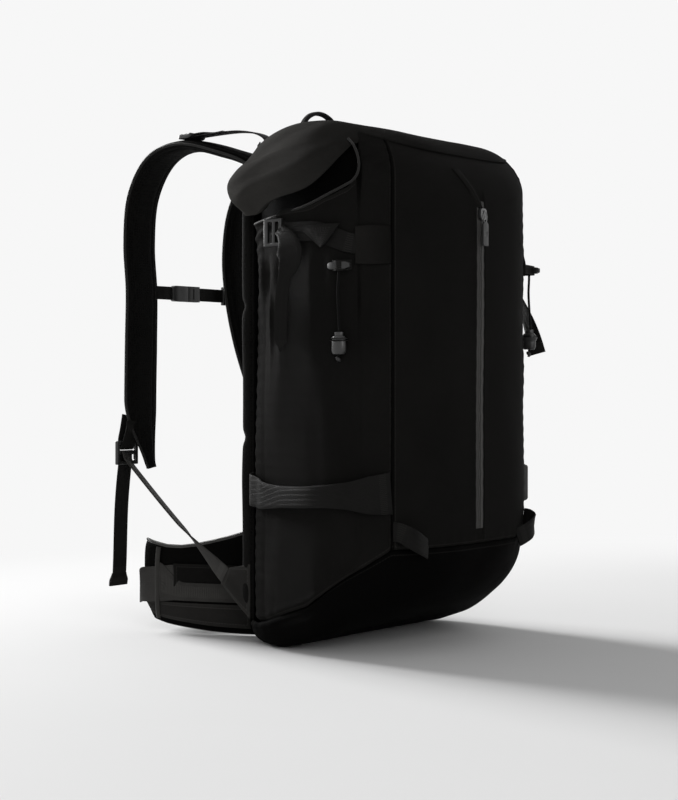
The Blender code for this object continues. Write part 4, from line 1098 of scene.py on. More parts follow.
def roll_top():
    """The rolled closure: a soft lid whose ends fold down over both sides of the bag."""
    turns = [k / 240 for k in range(240)]
    turns += [angle_at(side, 6.9 + 0.09 * k) / (2 * pi) % 1.0 for side in (-1, 1) for k in range(10)]
    kept = []
    for turn in sorted(turns):
        if not kept or turn - kept[-1] > 0.0008:
            kept.append(turn)
    rings = [-1.0, -0.8, -0.55, -0.3, -0.12] + shares(46, 0.3) + [1 + 0.08 * k for k in range(1, 12)] + [1.96]
    thing = cloth("roll_top_cloth", hood_point, kept, rings, 0, HOOD_PAINTED_LIT, closed=True, seams=(False, True))
    reworked(thing, relax)
    apply_modifier(thing, "SOLIDIFY", thickness=HOOD_CLOTH, offset=-1)
    settle(thing, "roll_top", "shell_fabric", "roll_top")


def relax(mesh):
    """Evens out a mesh a little, as cloth evens out its own kinks."""
    inner = [v for v in mesh.verts if not v.is_boundary]
    for _ in range(3):
        bmesh.ops.smooth_vert(mesh, verts=inner, factor=0.5, use_axis_x=True, use_axis_y=True,
                              use_axis_z=True)


# ------------------------------------------------ the zip

COIL_PITCH = 0.0014


def zip_tape():
    """Both coated tapes, meeting over the coil in a fine ridge on each side of the middle."""
    def place(x, z):
        angle = face_angle(x)
        v = up_wall(angle, z)
        coil = 0.0007 * bump_at(abs(x), 0.0017, 0.0011) * (1 + 0.30 * sin(2 * pi * z / COIL_PITCH))
        slit = 0.0007 * bump_at(x, 0.0, 0.00045)
        edge = -0.0004 * smooth((abs(x) - 0.0046) / 0.0012)
        relief = front_relief(angle, v) + zip_groove(x) * near_zip(z)
        return shell(angle, v, relief - ZIP_GROOVE + 0.0010 + coil - slit + edge)

    half = [0.0003, 0.0006, 0.0011, 0.0017, 0.0023, 0.0029, 0.0036, 0.0044, 0.0052, 0.0060]
    steps = int((ZIP_TOP - ZIP_FOOT) / COIL_PITCH * 4)
    heights = [lerp(ZIP_FOOT, ZIP_TOP, k / steps) for k in range(steps + 1)]
    panel("zip_tape", place, [-x for x in half[::-1]] + [0.0] + half, heights, 0.0008, TAPE,
          (0.012, ZIP_TOP - ZIP_FOOT), "zip_chain", slot="zip_tape", seams=(False, False))


def zip_garage():
    """The welded flap above the zip, under which the slider parks, with its slanting edge."""
    def place(u, v):
        x = lerp(-0.0052, 0.0062, u) - 0.030 * v ** 1.1
        z = 0.4440 + 0.036 * v
        angle = face_angle(x)
        share = up_wall(angle, z)
        if share > 1:
            share = 1 + over_top(angle, z - wall_top(angle))
        rise = 0.0022 * sin(pi * min(1.0, u * 1.15)) * (1 - 0.75 * v) + 0.0011
        return shell(angle, share, front_relief(angle, share) * (1 - near_zip(z)) + rise)

    panel("zip_garage", place, shares(16), shares(24), 0.0009, SHELL, (0.0125, 0.046), seams=(True, False))


def zip_slider():
    low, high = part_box("zip_slider")
    middle = (low + high) / 2
    body = block("zip_slider_body", low, high)
    start_edit(body)
    slice_at(2, interior(low.z, high.z, 0.18, 0.5, 0.82))
    resize(body, lambda c, n: abs(n.z) > 0.9, (0.62, 0.85, 1), middle)
    choose_faces(body, lambda c, n: n.y < -0.9 and abs(c.z - middle.z) < 0.004)
    bpy.ops.mesh.inset(thickness=0.0012)
    pull((0, -0.0005, 0))
    soften(body, 0.0007, 3)
    bridge = block("slider_bridge", (middle.x - 0.0013, low.y - 0.0017, middle.z - 0.0026),
                   (middle.x + 0.0013, low.y + 0.0003, middle.z + 0.0036))
    start_edit(bridge)
    slice_at(2, [middle.z - 0.0012, middle.z + 0.0022])
    choose_faces(bridge, lambda c, n: n.y > 0.9 and abs(c.z - middle.z - 0.0005) < 0.001)
    pull((0, -0.0011, 0))
    soften(bridge, 0.0004)
    settle(coat(join(body, bridge), DARK_METAL), "zip_slider", "zip_slider_metal", "zip_slider")


def zip_pull():
    """A wire link through the slider's bridge, and a moulded grip with a waist."""
    low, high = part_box("zip_pull")
    middle = (low + high) / 2
    top = high.z - 0.010
    grip = block("zip_pull_grip", low, (high.x, high.y, top))
    start_edit(grip)
    slice_at(2, interior(low.z, top, 0.12, 0.35, 0.65, 0.9))
    resize(grip, lambda c, n: n.z > 0.9, (0.55, 0.8, 1), middle)
    waist = interior(low.z, top, 0.35, 0.65)
    sink(grip, lambda c, n: abs(n.y) > 0.9 and waist[0] < c.z < waist[1], 0.0014, 0.0005)
    soften(grip, 0.0009, 3)
    coat(grip, plastic_finish("pull grip", 0.026, 0.38))
    centre = (middle.x, middle.y, high.z - 0.0052)
    link = torus("zip_pull_link", centre, (pi / 2, 0, 0), 0.0032, 0.00055, 32, 10)
    start_edit(link)
    resize(link, lambda c, n: True, (0.85, 1, 1.75), centre)
    alone(link)
    bpy.ops.object.shade_smooth()
    settle(grip, "zip_pull", "zip_pull_fabric", "zip_pull")
    settle(coat(link, DARK_METAL), "zip_pull", "zip_slider_metal")


# ------------------------------------------------ the bag is made

for make in (liner, base_cloth, outer_face, side_faces, hem_bindings, seam_piping, roll_top, zip_tape,
             zip_garage, zip_slider, zip_pull):
    make()

# ------------------------------------------------ padded pieces


def padded_section(width, thick, bead=0.0017, lanes=16, grooves=(), groove_depth=0.0016):
    """A lens with a bound edge on both sides. The side facing up takes band 1 and the other band 0."""
    reach = width / 2 - 1.7 * bead
    dips = [place * width / 2 for place in grooves]

    def height(x):
        full = (thick / 2) * max(0.0, 1 - abs(x / (reach * 1.02)) ** 3.4) ** 0.55
        full -= sum(groove_depth * bump_at(x, place, 0.0022) for place in dips)
        return max(full, bead * 0.45)

    xs = [reach * sin(pi * (k / lanes - 0.5)) for k in range(lanes + 1)]
    xs += [min(reach, max(-reach, place + d)) for place in dips for d in (-0.0016, 0.0, 0.0016)]
    xs.sort()
    edge = width / 2 - bead
    ends = [radians(a) for a in (55, 25, 0, -25, -55)]
    up = [(x, height(x), 1) for x in reversed(xs)]
    left = [(-edge - bead * cos(t), bead * sin(t), 2) for t in ends]
    down = [(x, -height(x), 0) for x in xs]
    right = [(edge + bead * cos(t), bead * sin(t), 2) for t in reversed(ends)]
    for part, band in ((up, 2), (down, 2), (left, 0), (right, 1)):
        part[-1] = (*part[-1][:2], band)
    return up + left + down + right


YOKE_Y = BAG_BACK + BACK_FOAM + 0.0003 + 0.006 - FOOT_Y
SHOULDER_WIDTH = 0.047
SHOULDER_THICK = 0.012
SHOULDER_ROUTE = [(x, YOKE_Y + y, z) for x, y, z in (
    (0.055, 0, 0.442), (0.055, 0.002, 0.472), (0.060, 0.018, 0.500), (0.069, 0.060, 0.5175),
    (0.077, 0.112, 0.5290), (0.081, 0.156, 0.517), (0.080, 0.187, 0.478), (0.078, 0.196, 0.425),
    (0.078, 0.192, 0.372), (0.085, 0.185, 0.318), (0.096, 0.174, 0.264), (0.106, 0.163, 0.222),
    (0.110, 0.156, 0.184), (0.1095, 0.153, 0.1725))]
RAIL = slice(78, 150)  # the part of a shoulder strap's path that its rail of webbing lies along


def shoulder_straps():
    """Curved straps of foam between mesh, on the wearer's side, and cloth, with a bound edge."""
    for word, side in SIDES.items():
        path = evenly(curve_through(mirrored(side, SHOULDER_ROUTE), 8), 170)

        def outline(share):
            full = SHOULDER_WIDTH * along((1.15, 1.1, 1.0, 1.0, 1.0, 1.0, 1.0, 0.97, 0.88), share)
            thick = SHOULDER_THICK * along((1, 1, 1, 1, 1, 1, 1, 0.95, 0.8), share)
            width = full * (1 - 0.66 * smooth((share - 0.86) / 0.14) ** 1.4)
            thick *= 1 + 0.05 * noise.noise(Vector((share * 26, side, 0)))
            inwards = -side * (full - width) * 0.42
            edge = padded_section(width, thick, grooves=(-0.62, 0.62), groove_depth=0.0013)
            return [(a + inwards, b, band) for a, b, band in edge]

        thing = sweep(f"shoulder_pad_{word}", path, (1, 0, 0), outline, [PADDING, MESH, BINDING], 60)
        settle(thing, "pack", "spacer_mesh", f"shoulder_strap_{word}")
        drops = [0.0066 * tangent.cross(Vector((1, 0, 0))).normalized() for tangent in tangents(path[RAIL])]
        rail = [point - drop for point, drop in zip(path[RAIL], drops)]
        strap(f"shoulder_rail_{word}", rail, (1, 0, 0), 0.016, thickness=0.0012)


def quilted(name, outer, inner, us, vs, node):
    """A closed pad of mesh between two surfaces, each a function of u and v."""
    wide, high = len(us), len(vs)
    points = [place(u, v) for place in (outer, inner) for v in vs for u in us]
    behind = wide * high
    faces, cut, rim = [], [], {}
    for r in range(high - 1):
        for c in range(wide - 1):
            ids = [a * wide + b for a, b in ((r, c), (r, c + 1), (r + 1, c + 1), (r + 1, c))]
            faces += [tuple(ids), tuple(behind + k for k in reversed(ids))]
            spots = [(points[k].x, points[k].z) for k in ids]
            cut += spots + spots[::-1]
            for a, b in zip(ids, ids[1:] + ids[:1]):
                if rim.pop((b, a), None) is None:
                    rim[(a, b)] = True
    faces += [(b, a, behind + a, behind + b) for a, b in rim]
    cut += [(0, 0)] * 4 * len(rim)
    thing = facing_out(from_points(name, points, faces, [MESH], cut, [(1.0, 0.0)] * len(cut), crease=70))
    settle(thing, "pack", "spacer_mesh", node)


def back_pad():
    """The padded wall against the wearer: two long pillows beside a channel, cut across twice."""
    def outer(angle, v):
        spot = shell(angle, v)
        beside = (0.126 - abs(spot.x)) / 0.010
        full = BACK_FOAM * smooth(beside) ** 0.5 * smooth(min(v, 1 - v) / 0.03) ** 0.5
        channel = 0.0075 * exp(-((spot.x / 0.011) ** 2)) * smooth((spot.z - 0.10) / 0.03)
        for place in (0.200, 0.335):
            channel += 0.0060 * bump_at(spot.z - 0.10 * abs(spot.x), place, 0.0055) * smooth(beside / 2)
        swell = ripple(spot, 0.05, 0.0009, seed=61)
        return shell(angle, v, max(0.0016, full - channel + swell * smooth(beside)))

    angles = [radians(45.3) + radians(89.4) * s for s in shares(110)]
    heights = shares(150, 0.2)
    quilted("back_pad", outer, lambda a, v: shell(a, v, -0.0014), angles, heights, "back_panel")


def rounded_span(z, low, high, corner, half):
    """Half the width of a rounded rectangle at this height."""
    return half - rounding(min(z - low, high - z), corner)


def lumbar():
    low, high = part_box("lumbar_pad")
    half, thick = (high.x - low.x) / 2, high.y - low.y

    def spot(u, v, out=None):
        z = lerp(low.z, high.z, v)
        x = u * rounded_span(z, low.z, high.z, 0.018, half)
        if out is not None:
            return Vector((x, low.y + out, z))
        full = max(0.0, (1 - abs(u) ** 6) * (1 - abs(2 * v - 1) ** 6)) ** 0.35
        groove = 0.0036 * (bump_at(x, -0.026, 0.0032) + bump_at(x, 0.026, 0.0032))
        out = thick * full * (0.90 + 0.10 * cos(pi * u)) - groove * full
        out += ripple((x, 0, z), 0.03, 0.0008, seed=71) * full
        return Vector((x, low.y + max(0.0016, out), z))

    us = [2 * s - 1 for s in shares(80, 0.5)]
    quilted("lumbar_cushion", spot, lambda u, v: spot(u, v, 0.0003), us, shares(56, 0.5), "lumbar_pad")


WING_THICK = 0.011
WING_HEIGHT = 0.104
WING_MIDDLE = 0.0010 + WING_HEIGHT / 2
WING_PIVOT = Vector((0.075 + 0.0003 + WING_THICK / 2, BAG_BACK + BACK_FOAM + 0.010 - FOOT_Y, WING_MIDDLE))
WING_ROUTE = ((0, 0), (0.011, 0.024), (0.025, 0.056), (0.037, 0.092), (0.0385, 0.120), (0.0345, 0.137))
WING_TOP = (0.1170, 0.1105, 0.1050, 0.1005, 0.0965, 0.0940, 0.0940, 0.0962, 0.0985)
WING_FOOT = (0.0010, 0.0010, 0.0015, 0.0025, 0.0042, 0.0062, 0.0085, 0.0120, 0.0320)
ROOT_CORNER = 0.030  # how far the wing's top is cut down where it starts
BELT_Z = 0.043
BELT_Y = 0.286 - FOOT_Y
BELT_WEBBING = 0.028


def wing_path(side, count=90):
    places = [WING_PIVOT + Vector((*p, 0)) for p in WING_ROUTE]
    return evenly(curve_through(mirrored(side, places), 8), count)


def wing_out(side, tangent):
    return Vector((tangent.y, -tangent.x, 0)).normalized() * side


def wing_span(share):
    """The foot and top of the wing's outline at this share of its way round the hip."""
    corner = ROOT_CORNER * (1 - sqrt(max(0.0, 1 - max(0.0, 1 - share / 0.07) ** 2)))
    return along(WING_FOOT, share), along(WING_TOP, share) - corner


def wings():
    """The hip belt's padded wings, cloth outside and mesh inside, on the belt's own bodies."""
    for word, side in SIDES.items():
        path = wing_path(side)

        def outline(share):
            foot, top = wing_span(share)
            lift = (foot + top) / 2 - WING_MIDDLE
            thick = WING_THICK * along((1.0, 1.0, 1.0, 1.0, 0.7), share)
            thick *= 1 + 0.06 * noise.noise(Vector((share * 9, side * 3, 1)))
            points = padded_section(top - foot, thick, 0.0021, 26, (-0.62,), 0.0016)
            swap = (1, 0, 2) if side < 0 else (0, 1, 2)
            return [(a + lift, b, swap[band]) for a, b, band in points]

        thing = sweep(f"hip_pad_{word}", path, (0, 0, 1), outline, [MESH, PADDING, PIPING_PAINTED_HIGHLIGHT], 60)
        settle(thing, f"belt_{word}", "spacer_mesh", f"hip_wing_{word}")
        wing_webbing(word, side)
        wing_panels(word, side, path)


def wing_panels(word, side, path):
    """The sleeve that the belt's webbing runs in, its edge dipping to a slot, and a bound strip before it."""
    def on_wing(share, z, out):
        k = share * (len(path) - 1)
        low = min(int(k), len(path) - 2)
        middle = path[low].lerp(path[low + 1], k - low)
        foot, top = wing_span(share)
        lens = 1 - abs((z - (foot + top) / 2) / ((top - foot) / 2 + 0.002)) ** 3.4
        rise = WING_THICK / 2 * max(0.0, lens) ** 0.55 + out
        return Vector((middle.x, middle.y, z)) + wing_out(side, path[low + 1] - path[low]) * rise

    def sleeve(u, v):
        share = lerp(0.13, 0.790, u)
        top = 0.0545 + 0.0200 * smooth((share - 0.56) / 0.23) ** 1.2
        return on_wing(share, lerp(0.0350, top, v), 0.0022 + 0.0006 * sin(pi * v))

    def pocket(u, v):
        out = 0.0010 + 0.0012 * bump_at(v, 1, 0.25) + 0.0020 * u**6
        return on_wing(lerp(0.16, 0.655, u), lerp(0.0500, 0.0745, v), out)

    def strip(u, v):
        foot, top = wing_span(0.80)
        z = lerp(foot + 0.004, top - 0.004, v)
        return on_wing(lerp(0.782, 0.826, u), z, 0.0024 + 0.0012 * sin(pi * u))

    def lower_panel(u, v):
        share = lerp(0.06, 0.96, u)
        return on_wing(share, lerp(wing_span(share)[0] + 0.0065, 0.0325, v), 0.0008 + 0.0009 * sin(pi * v))

    for name, place, finish, flat, area in (
        ("belt_sleeve", sleeve, BELT_BAND, (0.096, 0.040), 0.0023),
        ("belt_pocket", pocket, SHELL, (0.072, 0.025), None),
        ("belt_strip", strip, BELT_BAND, (0.0102, 0.083), 0.00060),
        ("belt_foot_panel", lower_panel, BELT_CLOTH, (0.130, 0.022), None),
    ):
        panel(f"{name}_{word}", place, shares(64 if flat[0] > 0.05 else 6), shares(26), 0.0009, finish, flat,
              area=area, body=f"belt_{word}")


def wing_webbing(word, side):
    """The belt's webbing, from under its sleeve round to the buckle in front."""
    node_low, node_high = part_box(f"hip_webbing_{word}")
    out = WING_THICK / 2 + 0.0003 + WEBBING / 2
    path = wing_path(side, 9)
    outside = [p + wing_out(side, t) * out for p, t in zip(path, tangents(path))][5:]
    route = [Vector((p.x, p.y, lerp(0.0545, BELT_Z, k / 5))) for k, p in enumerate(outside)]
    last, end = route[-1], Vector((node_high.x if side < 0 else node_low.x, BELT_Y, BELT_Z))
    route += [Vector((lerp(last.x, end.x, a), lerp(last.y, end.y, b), BELT_Z))
              for a, b in ((0.10, 0.42), (0.32, 0.76), (0.64, 0.94), (0.9, 0.995), (1, 1))]
    strap(f"belt_webbing_{word}", curve_through(route, 6), (0, 0, 1),
          lambda s: lerp(0.038, BELT_WEBBING, smooth((s - 0.30) / 0.4)), f"hip_webbing_{word}",
          finish=BELT_BAND, body=f"belt_{word}")


# ------------------------------------------------ webbing and sewn tabs


def corner_of_back(side, out):
    x, y = section(BAG_WIDTH / 2 + out, BAG_FRONT, BAG_BACK + out, radians(45))
    return Vector((x * side, y - FOOT_Y, 0))


def lower_webbing():
    """Webbing from the base's corner to the ladder lock, turning from upright to level on its way."""
    for word, side in SIDES.items():
        low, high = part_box(f"ladder_lock_{word}")
        end = Vector(((low.x + high.x) / 2, low.y - 0.0004, low.z + 0.004))
        apex = corner_of_back(side, 0.0020) + Vector((0.0012 * side, 0.034, 0.068))
        direction = (end - apex).normalized()
        upright = (Vector((0, 0, 1)) - direction * direction.z).normalized()
        level = Vector((0.90 * side, -0.26, 0.35))
        path = [apex.lerp(end, k / 60) + Vector((0, 0, -0.0030 * sin(pi * k / 60))) for k in range(61)]
        path += [end + Vector((0, d, h)) for d, h in ((0.0010, 0.0035), (0.0026, 0.0072), (0.0040, 0.0098))]

        def across(share):
            turn = smooth(share / 0.42) * pi / 2
            return level * sin(turn) + upright * cos(turn)

        strap(f"lower_strap_{word}", path, across, lambda s: STRAP_WIDTH - 0.0035 * bump_at(s, 0.22, 0.16),
              f"lower_webbing_{word}", finish=BELT_BAND, steps=70)
        corner_tab(word, side, apex, upright)
        strap_tail(word, side)


def corner_tab(word, side, apex, upright):
    """The folded triangle of cloth that takes the lower webbing's pull into the back seam."""
    foot = corner_of_back(side, 0.0018)
    low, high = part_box(f"corner_tab_{word}")

    def place(u, v):
        seam = Vector((foot.x, foot.y, lerp(low.z, high.z, v)))
        fold = 0.0011 * sin(pi * u) * sin(2 * pi * v * 1.5 + 0.6)
        return seam.lerp(apex + upright * 0.021 * (v - 0.5), u) + Vector((side * (fold + 0.0006), 0, 0))

    panel(f"corner_flap_{word}", place, shares(22), shares(22), 0.0022, BELT_CLOTH, (0.036, 0.056),
          f"corner_tab_{word}", area=0.00135)


def strap_tail(word, side):
    """The free end of the lower webbing below the ladder lock, its last inch folded to a grip."""
    low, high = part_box(f"strap_tail_{word}")
    x = (low.x + high.x) / 2
    top = Vector((x, low.y + 0.0034, high.z + 0.003))
    drift = high.y - low.y - 0.0060
    route = [(x, top.y - 0.0016, high.z + 0.0155), (x, top.y - 0.0002, high.z + 0.0125)]
    for s in (k / 8 for k in range(9)):
        route.append((x + side * 0.0012 * sin(2.4 * s), top.y + drift * s + 0.0012 * sin(pi * 1.6 * s),
                      lerp(top.z, low.z + 0.009, s)))
    body = f"strap_tail_{word}"
    strap(f"hanging_tail_{word}", curve_through(route, 6), (1, 0, 0), STRAP_WIDTH, body, body=body,
          held="hung")
    grip = [Vector(route[-1]) + Vector((0, 0.0002 * k, 0.0050 - 0.0137 * k / 8)) for k in range(9)]
    strap(f"tail_grip_{word}", grip, (1, 0, 0), lambda s: 0.0205 + 0.0055 * smooth(s * 1.6),
          thickness=lambda s: 0.0042 - 0.0012 * abs(2 * s - 1), body=body, held="folded", steps=14)


def lifter_straps():
    x, seam_y = 0.079, BAG_BACK - FOOT_Y
    for word, side in SIDES.items():
        low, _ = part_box(f"lifter_buckle_{word}")
        top = low.z - 0.0006
        route = ((x + 0.004, seam_y + 0.0036, 0.505), (x + 0.003, seam_y + 0.0090, 0.526),
                 (x + 0.001, lerp(seam_y, low.y, 0.42), top + 0.0022),
                 (x, low.y - 0.0003, top + 0.0031), (x - 0.0005, low.y + 0.006, top + 0.0036))
        strap(f"lifter_webbing_{word}", curve_through(mirrored(side, route), 8), (1, 0, 0),
              NARROW_STRAP_WIDTH, f"lifter_strap_{word}")
        end = ((x - 0.001, low.y + 0.004, top + 0.0056), (x - 0.002, low.y - 0.012, top + 0.0062),
               (x - 0.003, low.y - 0.028, top + 0.0045), (x - 0.004, low.y - 0.040, top + 0.0052))
        strap(f"lifter_tail_{word}", curve_through(mirrored(side, end), 6), (1, 0, 0), NARROW_STRAP_WIDTH,
              held="hung")


def compression_straps():
    """On each side: a broad cloth tab at the front seam, webbing to a buckle, and its hanging tail."""
    for word, side in SIDES.items():
        body = f"compression_{word}"

        def tab(u, v):
            z = lerp(0.3835, 0.4195, v) + 0.0016 * sin(pi * u) * (v - 0.5)
            proud = 0.0022 + 0.0010 * sin(pi * u) + 0.0006 * sin(3.1 * u + 5 * v)
            return side_spot(side, lerp(5.06, 7.42, u), z, proud)

        def corner(u, v):
            """Doubled webbing that hangs in a point below the strap."""
            half = 0.0205 * (1 - v) ** 0.9 + 0.0012
            away = min(max(9.25 + (2 * u - 1) * half / 0.0225, 8.2), 10.05)
            proud = 0.0042 + 0.0022 * v + 0.0010 * sin(2.4 * u + 1.0)
            return side_spot(side, away, 0.4225 - 0.0225 * v, proud)

        # The tab takes the roll top's cloth with its painted light.
        panel(f"compression_tab_{word}", tab, shares(26), shares(24), 0.0013, HOOD_PAINTED_LIT, (0.036, 0.037), body=body)
        route = []
        for away in (7.30, 7.6, 8.0, 8.6, 9.2, 9.8, 10.25, 10.55):
            rise = smooth((away - 7.3) / 3.0)
            route.append(side_spot(side, away, lerp(0.4025, 0.4180, rise), 0.0012 + 0.0010 * rise))
        strap(f"compression_webbing_{word}", curve_through(route, 5), (0, 0, 1), STRAP_WIDTH,
              f"compression_strap_{word}", body=body)
        panel(f"folded_corner_{word}", corner, shares(18), shares(16), 0.0013, STRAP, (0.040, 0.024),
              area=0.00082, body=body, slot="webbing", held="folded")
        compression_tail(word, side)


TAIL_ROUTES = {
    "left": ((-0.1462, -0.0400, 0.4210), (-0.1490, -0.0500, 0.4130), (-0.1512, -0.0570, 0.4020),
             (-0.1512, -0.0580, 0.3880), (-0.1500, -0.0510, 0.3740), (-0.1492, -0.0465, 0.3560),
             (-0.1484, -0.0440, 0.3300), (-0.1478, -0.0425, 0.2985)),
    "right": ((0.1462, -0.0385, 0.4215), (0.1500, -0.0600, 0.4120), (0.1550, -0.0850, 0.4000),
              (0.1580, -0.1050, 0.3880), (0.1610, -0.1170, 0.3620), (0.1640, -0.1290, 0.3300),
              (0.1662, -0.1375, 0.3000)),
}
TAIL_TURNS = {
    "left": (0.0, -0.06, -0.10, -0.35, -0.60, -0.70, -0.70, -0.65),
    "right": (0.0, 0.6, 0.9, 0.9, 0.4, 0.0, -0.5),
}


def compression_tail(word, side):
    """A twisted free end of webbing, hanging beside its buckle to a cut point."""
    def across(share):
        turn = along(TAIL_TURNS[word], share)
        return sin(turn), cos(turn), 0

    def width(share):
        if side > 0:
            return 0.0185 - 0.0085 * bump_at(share, 0.45, 0.25)
        diamond = max(0.0, 1 - abs(share - 0.24) / 0.19)
        return lerp(0.0135, 0.0325, diamond) * (1 - 0.85 * smooth((share - 0.90) / 0.10))

    strap(f"compression_end_{word}", curve_through(TAIL_ROUTES[word], 7), across, width,
          f"compression_tail_{word}", body=f"compression_tail_{word}", held="hung")


SKI_BAND = ((5.12, 0.1545, 0.0020), (5.8, 0.1535, 0.0034), (6.8, 0.1525, 0.0060), (8.0, 0.1520, 0.0085),
            (9.2, 0.1520, 0.0095), (10.0, 0.1525, 0.0090), (10.9, 0.1545, 0.0075), (12.0, 0.1570, 0.0062),
            (13.6, 0.1590, 0.0050), (14.7, 0.1600, 0.0020))  # columns, heights and how far they stand out
SKI_BAND_WIDTHS = (0.041, 0.037, 0.0265, 0.0225, 0.0215, 0.0215, 0.022, 0.026, 0.031, 0.034)
AXE_LOOP = ((4.95, 0.1110, 0.0016), (4.55, 0.1100, 0.0065), (4.05, 0.1050, 0.0115), (3.5, 0.0980, 0.0105),
            (3.05, 0.0925, 0.0055), (2.8, 0.0890, 0.0010))


def ski_bands():
    """The low bands that skis hang in, each widening into the seams at its ends."""
    for word, side in SIDES.items():
        slack = 0.0055 if side > 0 else 0.0
        route = [side_spot(side, away, z, out + slack * bump_at(away, 6.9, 1.2)) for away, z, out in SKI_BAND]
        strap(f"ski_strap_{word}", curve_through(route, 8), (0, 0, 1), lambda s: along(SKI_BAND_WIDTHS, s),
              f"ski_band_{word}", thickness=0.0022)


def axe_loops():
    """Loops of webbing at the outer face's low corners, one end in the side seam, one in the base's."""
    for word, side in SIDES.items():
        route = [wall(angle_at(side, away), z, out) for away, z, out in AXE_LOOP]
        strap(f"axe_loop_strap_{word}", curve_through(route, 7), (0.10 * side, 0, 1), STRAP_WIDTH,
              f"axe_loop_{word}", thickness=0.0018, held="folded")


def haul_loop():
    """The handle: webbing folded double over a cord, standing on two sewn feet."""
    low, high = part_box("haul_loop")
    y, half = (low.y + high.y) / 2, (high.x - low.x) / 2 - 0.0013
    spring = 0.530
    arch = [(-half * cos(turn), y, spring + (high.z - 0.0014 - spring) * sin(turn) ** 0.8)
            for turn in (pi * k / 12 for k in range(13))]
    route = [(-half, y, low.z + 0.0004), (-half, y, spring - 0.004), *arch, (half, y, spring - 0.004),
             (half, y, low.z + 0.0004)]
    strap("haul_handle", curve_through(route, 5), (0, 1, 0),
          lambda s: 0.0125 - 0.0040 * smooth((0.5 - abs(s - 0.5)) / 0.20), "haul_loop",
          thickness=lambda s: 0.0022 + 0.0020 * smooth((0.5 - abs(s - 0.5)) / 0.22), body="haul_loop",
          held="folded", steps=90)

# ------------------------------------------------ keepers and their cords

CORD = 0.0026
CORD_LENGTH = 0.092
KEEPER_PLACE = {"left": Vector((-0.1428, -0.1150, 0.3815)), "right": Vector((0.1400, -0.1440, 0.3900))}
LOCK_BOX = ((-0.0050, -0.0082, -0.0860), (0.0050, 0.0082, -0.0640))  # from its keeper's middle


def keepers():
    """On each side a toggle held by a short sewn loop, its elastic cord hanging through a cord lock."""
    for word, side in SIDES.items():
        middle = KEEPER_PLACE[word]
        toggle(word, side, middle)
        path = []
        for s in (k / 24 for k in range(25)):
            sway = 0.0010 * sin(2.2 * pi * s) * smooth(s * 4)
            drop = -0.0020 - (CORD_LENGTH - 0.0002) * s
            path.append(middle + Vector((side * 0.0006 * sin(3 * s), sway, drop)))
        cord = sweep(f"lock_cord_{word}", path, (0, 1, 0), circle(CORD / 2, 12), [ELASTIC])
        settle(cord, "pack", "elastic_cord", f"keeper_cord_{word}")
        knot = cord_knot(word, path[-1])
        lock = cord_lock(word, *(Vector(map(sum, zip(middle, corner))) for corner in LOCK_BOX))
        runs_of(path)[-1]


def toggle(word, side, middle):
    """A flattened bar with a waist, and the loop of webbing round its waist that is sewn to the bag."""
    half = Vector((0.0022, 0.0135, 0.0034))
    bar = block(f"toggle_bar_{word}", middle - half, middle + half)
    start_edit(bar)
    slice_at(1, [middle.y + half.y * s for s in (-0.72, -0.30, 0.30, 0.72)])
    resize(bar, lambda c, n: abs(n.y) > 0.9, (0.62, 1, 0.60), middle)
    sink(bar, lambda c, n: abs(n.y) < 0.4 and abs(c.y - middle.y) < half.y * 0.30, 0, 0.0006)
    soften(bar, 0.0008, 3)
    coat(bar, plastic_finish(f"toggle plastic {word}", 0.009, 0.45))
    settle(bar, "pack", "webbing", f"keeper_{word}")
    away = 10 - asin((-(middle.y + FOOT_Y) / BAG_FRONT) ** (FRONT_POWER / 2)) / COLUMN
    round_bar = [middle + Vector((side * x, y, 0))
                 for x, y in ((0.0014, -0.0052), (0.0034, 0), (0.0014, 0.0052))]
    sewn = [side_spot(side, away + a, middle.z + 0.001, 0.0008) for a in (-0.55, 0.55)]
    strap(f"toggle_loop_{word}", curve_through([sewn[0], *round_bar, sewn[1]], 6), (0, 0, 1), 0.0102,
          thickness=0.0012, held="folded")


def cord_knot(word, spot):
    """An overhand knot: a small fat loop round the cord's end."""
    centre = spot + Vector((0, 0, 0.0028))
    knot = torus(f"cord_knot_{word}", centre, (0.5, 0.25, 0.3), 0.0017, 0.00125, 28, 12)
    start_edit(knot)
    choose_faces(knot, lambda c, n: c.z > spot.z + 0.0030)
    bpy.ops.transform.translate(value=(0, 0, 0.0011))
    alone(knot)
    bpy.ops.object.shade_smooth()
    coat(knot, plastic_finish(f"knot cord {word}", 0.003, 0.62, 2200.0))
    return settle(knot, "pack", "elastic_cord")


def bore(thing, rim):
    """Runs a hole through the piece in hand from top to foot, leaving a rim."""
    choose_faces(thing, lambda c, n: abs(n.z) > 0.9)
    bpy.ops.mesh.inset(thickness=rim)
    bpy.ops.mesh.bridge_edge_loops()


def cord_lock(word, low, high):
    """A barrel with a spring button on top, the cord running through both."""
    (x, y, _), (wide, deep, tall) = (low + high) / 2, high - low
    base = (low.z + high.z) / 2 - tall * 0.09
    body = barrel(f"cord_lock_body_{word}", (x, y, base), (wide, deep, tall * 0.80), 28)
    foot, groove, lip = (base + tall * s for s in (-0.26, 0.2, 0.28))
    slice_at(2, [foot, groove, lip])
    resize(body, lambda c, n: abs(n.z) > 0.9, (0.82, 0.82, 1), (x, y, base))
    sink(body, lambda c, n: abs(n.z) < 0.4 and groove < c.z < lip, 0, 0.0004)
    bore(body, wide * 0.22)
    soften(body, 0.0005, 2, 40)
    button = barrel(f"cord_lock_button_{word}", (x, y, high.z - tall * 0.11),
                    (wide * 0.62, deep * 0.62, tall * 0.20), 24)
    bore(button, wide * 0.12)
    soften(button, 0.0004, 2, 40)
    thing = coat(join(body, button), plastic_finish(f"cord lock plastic {word}", 0.024, 0.36))
    return settle(thing, f"cord_lock_{word}", "buckle_plastic", f"cord_lock_{word}")


